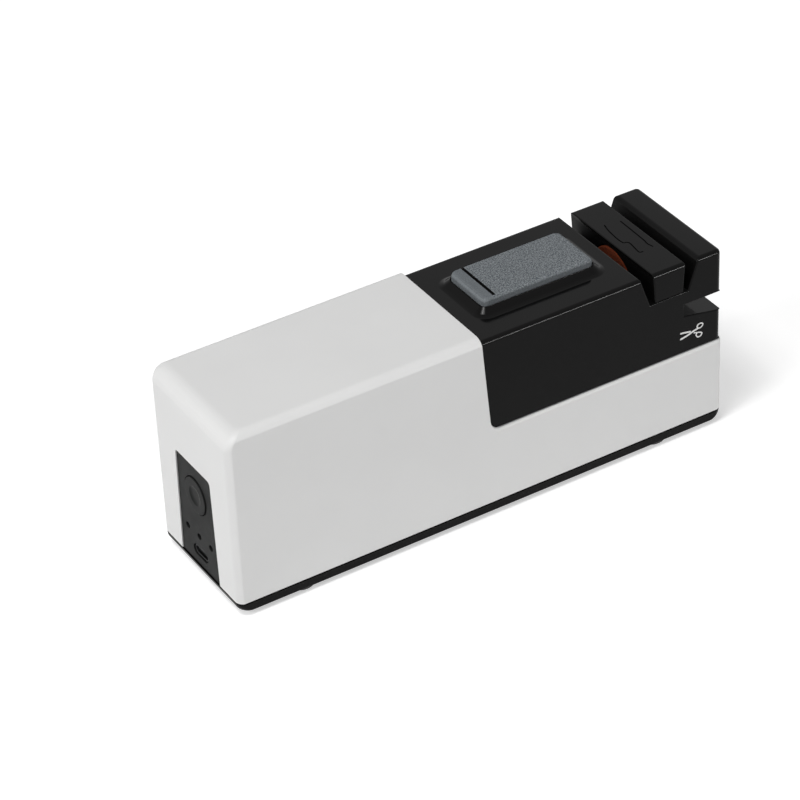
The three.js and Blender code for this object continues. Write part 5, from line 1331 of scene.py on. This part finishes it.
def screw_tree():
    names = ["Head radius", "Head height", "Core radius", "Length", "Pitch", "Recess"]
    tree = GrowingTree("screws", names)
    head_r, head_h, core_r, length, pitch, recess = (tree.size(name) for name in names)
    head = tree.nosed(tree.barrel(head_r, 0.0, head_h, 40, 8), head_h, DOME)
    slots = [tree.node("GeometryNodeMeshCube", {"Size": tree.vector(*size)})
             for size in ((recess * 4, recess, head_h), (recess, recess * 4, head_h))]
    head = tree.combined("DIFFERENCE", head, *slots)
    shank = length - head_h
    core = tree.barrel(core_r, head_h * CORE_START, shank - core_r * CORE_STOP, 20)
    point = tree.node("GeometryNodeMeshCone", {
        "Vertices": 20, "Radius Top": core_r * POINT_TIP, "Radius Bottom": core_r * POINT_NECK,
        "Depth": core_r * POINT_LONG}, {"fill_type": "NGON"})
    point = tree.raised(point, length - core_r * POINT_LONG)
    turns = tree.maths("FLOOR", (shank - core_r * THREAD_STOP) / pitch)
    spiral = tree.node("GeometryNodeCurveSpiral", {
        "Resolution": 16, "Rotations": turns, "Start Radius": core_r, "End Radius": core_r,
        "Height": turns * pitch})
    bar = tree.node("GeometryNodeCurvePrimitiveCircle", {"Resolution": 3, "Radius": core_r * BAR_R})
    thread = tree.node("GeometryNodeCurveToMesh", {
        "Curve": spiral, "Profile Curve": bar, "Fill Caps": True})
    thread = tree.raised(thread, head_h + pitch * THREAD_START)
    return tree.close(tree.combined("UNION", head, core, point, thread))


def side_middle(node, axis, end):
    """The middle of one side of a node's box, in millimetres. end is 0 for its low side and 1
    for its high one."""
    corners = [Vector(corner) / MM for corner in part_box(node)]
    middle = [(corners[0][i] + corners[1][i]) / 2 for i in range(3)]
    middle[axis] = corners[end][axis]
    return tuple(middle)


def numbered(stem, count):
    return [f"{stem}_{k + 1}" for k in range(count)]


UNDERSIDE, FAR_SIDE = (2, 0), (0, 1)
UPWARD, BACKWARD, FORWARD = (0, 0, 0), (0, -math.pi / 2, 0), (0, math.pi / 2, 0)
large = dict(head_radius=HEAD_R, head_height=1.4, core_radius=1.22, pitch=1.3, recess=0.7)
small = dict(head_radius=1.9, head_height=1.1, core_radius=0.8, pitch=0.8, recess=0.5)
zinc, screws = finish_of["plated_steel"], screw_tree()
SCREWS = [
    ("base_screws", numbered("base_screw", 4), "housing", UNDERSIDE, UPWARD, 17.4, large),
    ("frame_screws", numbered("frame_screw", 4), "housing", UNDERSIDE, UPWARD, 10.1, small),
    ("guide_screws", numbered("guide_screw", 2), "housing", UNDERSIDE, UPWARD, 8.1, small),
    ("board_screws", numbered("board_screw", 2), "housing", FAR_SIDE, BACKWARD, 6.1, small),
    ("spindle_screw", ["wheel_screw"], "spindle", FAR_SIDE, BACKWARD, 7.0, small),
]
for name, nodes, body, side, turn, length, sizes in SCREWS:
    places = [side_middle(node, *side) for node in nodes]
    dressed(grown(name, screws, places, zinc, turn, length=length, **sizes), zinc, body, *nodes)

# %% [markdown]
# Feet and lamp lenses are both round bodies with one rounded end, so one tree does for both. The
# feet stand on their rounded end. The lenses lie along X, with that end towards the panel.

# %% Feet and lamps


def round_end_tree():
    names = ["Radius", "Height", "Round"]
    tree = GrowingTree("round_ended", names)
    radius, height, rounding = (tree.size(name) for name in names)
    form = tree.barrel(radius, 0.0, height, 48, 16)
    return tree.close(tree.nosed(form, rounding, rounding / radius))


FOOT_H, FOOT_ROUND, LENS_LONG, LENS_ROUND = 2.35, 0.7, 9.6, 0.35
round_ended = round_end_tree()
rubber, smoke = finish_of["foot_rubber"], finish_of["lamp_pipe"]
feet = [f"foot_{end}_{side}" for end in ("front", "rear") for side in ("left", "right")]
lenses = [f"lamp_lens_{place}" for place in ("left", "middle", "right")]
under_feet = [side_middle(node, *UNDERSIDE) for node in feet]
dressed(grown("rubber_feet", round_ended, under_feet, rubber, UPWARD, radius=FOOT_R, height=FOOT_H,
              round=FOOT_ROUND), rubber, "housing", *feet)
lens_fronts = [(PANEL_FACE + LAMP_SINK, y, LAMP_Z) for y in LAMPS_Y]
dressed(grown("lamp_lenses", round_ended, lens_fronts, smoke, FORWARD, radius=LAMP_R,
              height=LENS_LONG - LAMP_SINK, round=LENS_ROUND), smoke, "housing", *lenses)

# %% [markdown]
# The charging socket is a drawn steel shell with a tongue in it. The contacts on the tongue repeat
# too, twelve on each face, and each is a small plate with its own gap.

# %% Charging socket
CONTACTS, CONTACT_PITCH, CONTACT_W, CONTACT_L, CONTACT_T = 12, 0.5, 0.3, 3.2, 0.05
TONGUE_W, TONGUE_T, TONGUE_FRONT, TONGUE_END = 6.7, 0.7, -98.7, -90.1
PORT_SINK, PORT_BACK, PORT_FLOOR, PORT_EDGE, CONTACT_INSET = 0.45, -88.9, -89.8, 0.08, 0.5


def make_socket():
    rim = slot_outline(PORT_W, PORT_H, PORT_Z)
    shell = drawn("socket_shell", rim, "X", PANEL_FACE + PORT_SINK, PORT_BACK)
    bore = slot_outline(PORT_W - 2 * PORT_WALL, PORT_H - 2 * PORT_WALL, PORT_Z)
    cut(shell, drawn("bore", bore, "X", PANEL_FACE - OVER, PORT_FLOOR))
    return softened(shell, PORT_EDGE)


def make_tongue():
    tongue = slab("socket_tongue", TONGUE_FRONT, TONGUE_END, -TONGUE_W / 2, TONGUE_W / 2,
                  PORT_Z - TONGUE_T / 2, PORT_Z + TONGUE_T / 2)
    return softened(tongue, PANEL_EDGE)


def contact_tree():
    names = ["Long", "Wide", "Thick"]
    tree = GrowingTree("contacts", names)
    size = tree.vector(*(tree.size(name) for name in names))
    return tree.close(tree.node("GeometryNodeMeshCube", {"Size": size}))


dark_steel = metal("dark_steel", (0.055, 0.055, 0.057), 0.30, stretch=(1, 1, 1))
gold = finish_of["bronze_brass"]
dressed(make_socket(), dark_steel, "housing", "usb_socket")
dressed(make_tongue(), charcoal_plastic, "housing", "usb_tongue")
contact_x = TONGUE_FRONT + CONTACT_INSET + CONTACT_L / 2
contact_places = [
    (contact_x, (k - (CONTACTS - 1) / 2) * CONTACT_PITCH, PORT_Z + side * TONGUE_T / 2)
    for k in range(CONTACTS) for side in SIDES]
contacts = dressed(grown("socket_contacts", contact_tree(), contact_places, gold, UPWARD,
                         long=CONTACT_L, wide=CONTACT_W, thick=CONTACT_T), gold, "housing")

# %% [markdown]
# ## The pieces inside
# What the shells hide keeps its CAD form, because nothing there is seen from a step away. Each
# still gets the finish of its slot, so that an opened view looks like the real inside.

# %% Finishes for the CAD pieces that stay
kept = [piece for name, piece in sorted(frame["nodes"].items()) if not piece.hide_render]
for piece in kept:
    piece.data.materials.clear()
    piece.data.materials.append(finish_of[slot_of[piece.name]])
print("CAD pieces that keep their form:", ", ".join(piece.name for piece in kept))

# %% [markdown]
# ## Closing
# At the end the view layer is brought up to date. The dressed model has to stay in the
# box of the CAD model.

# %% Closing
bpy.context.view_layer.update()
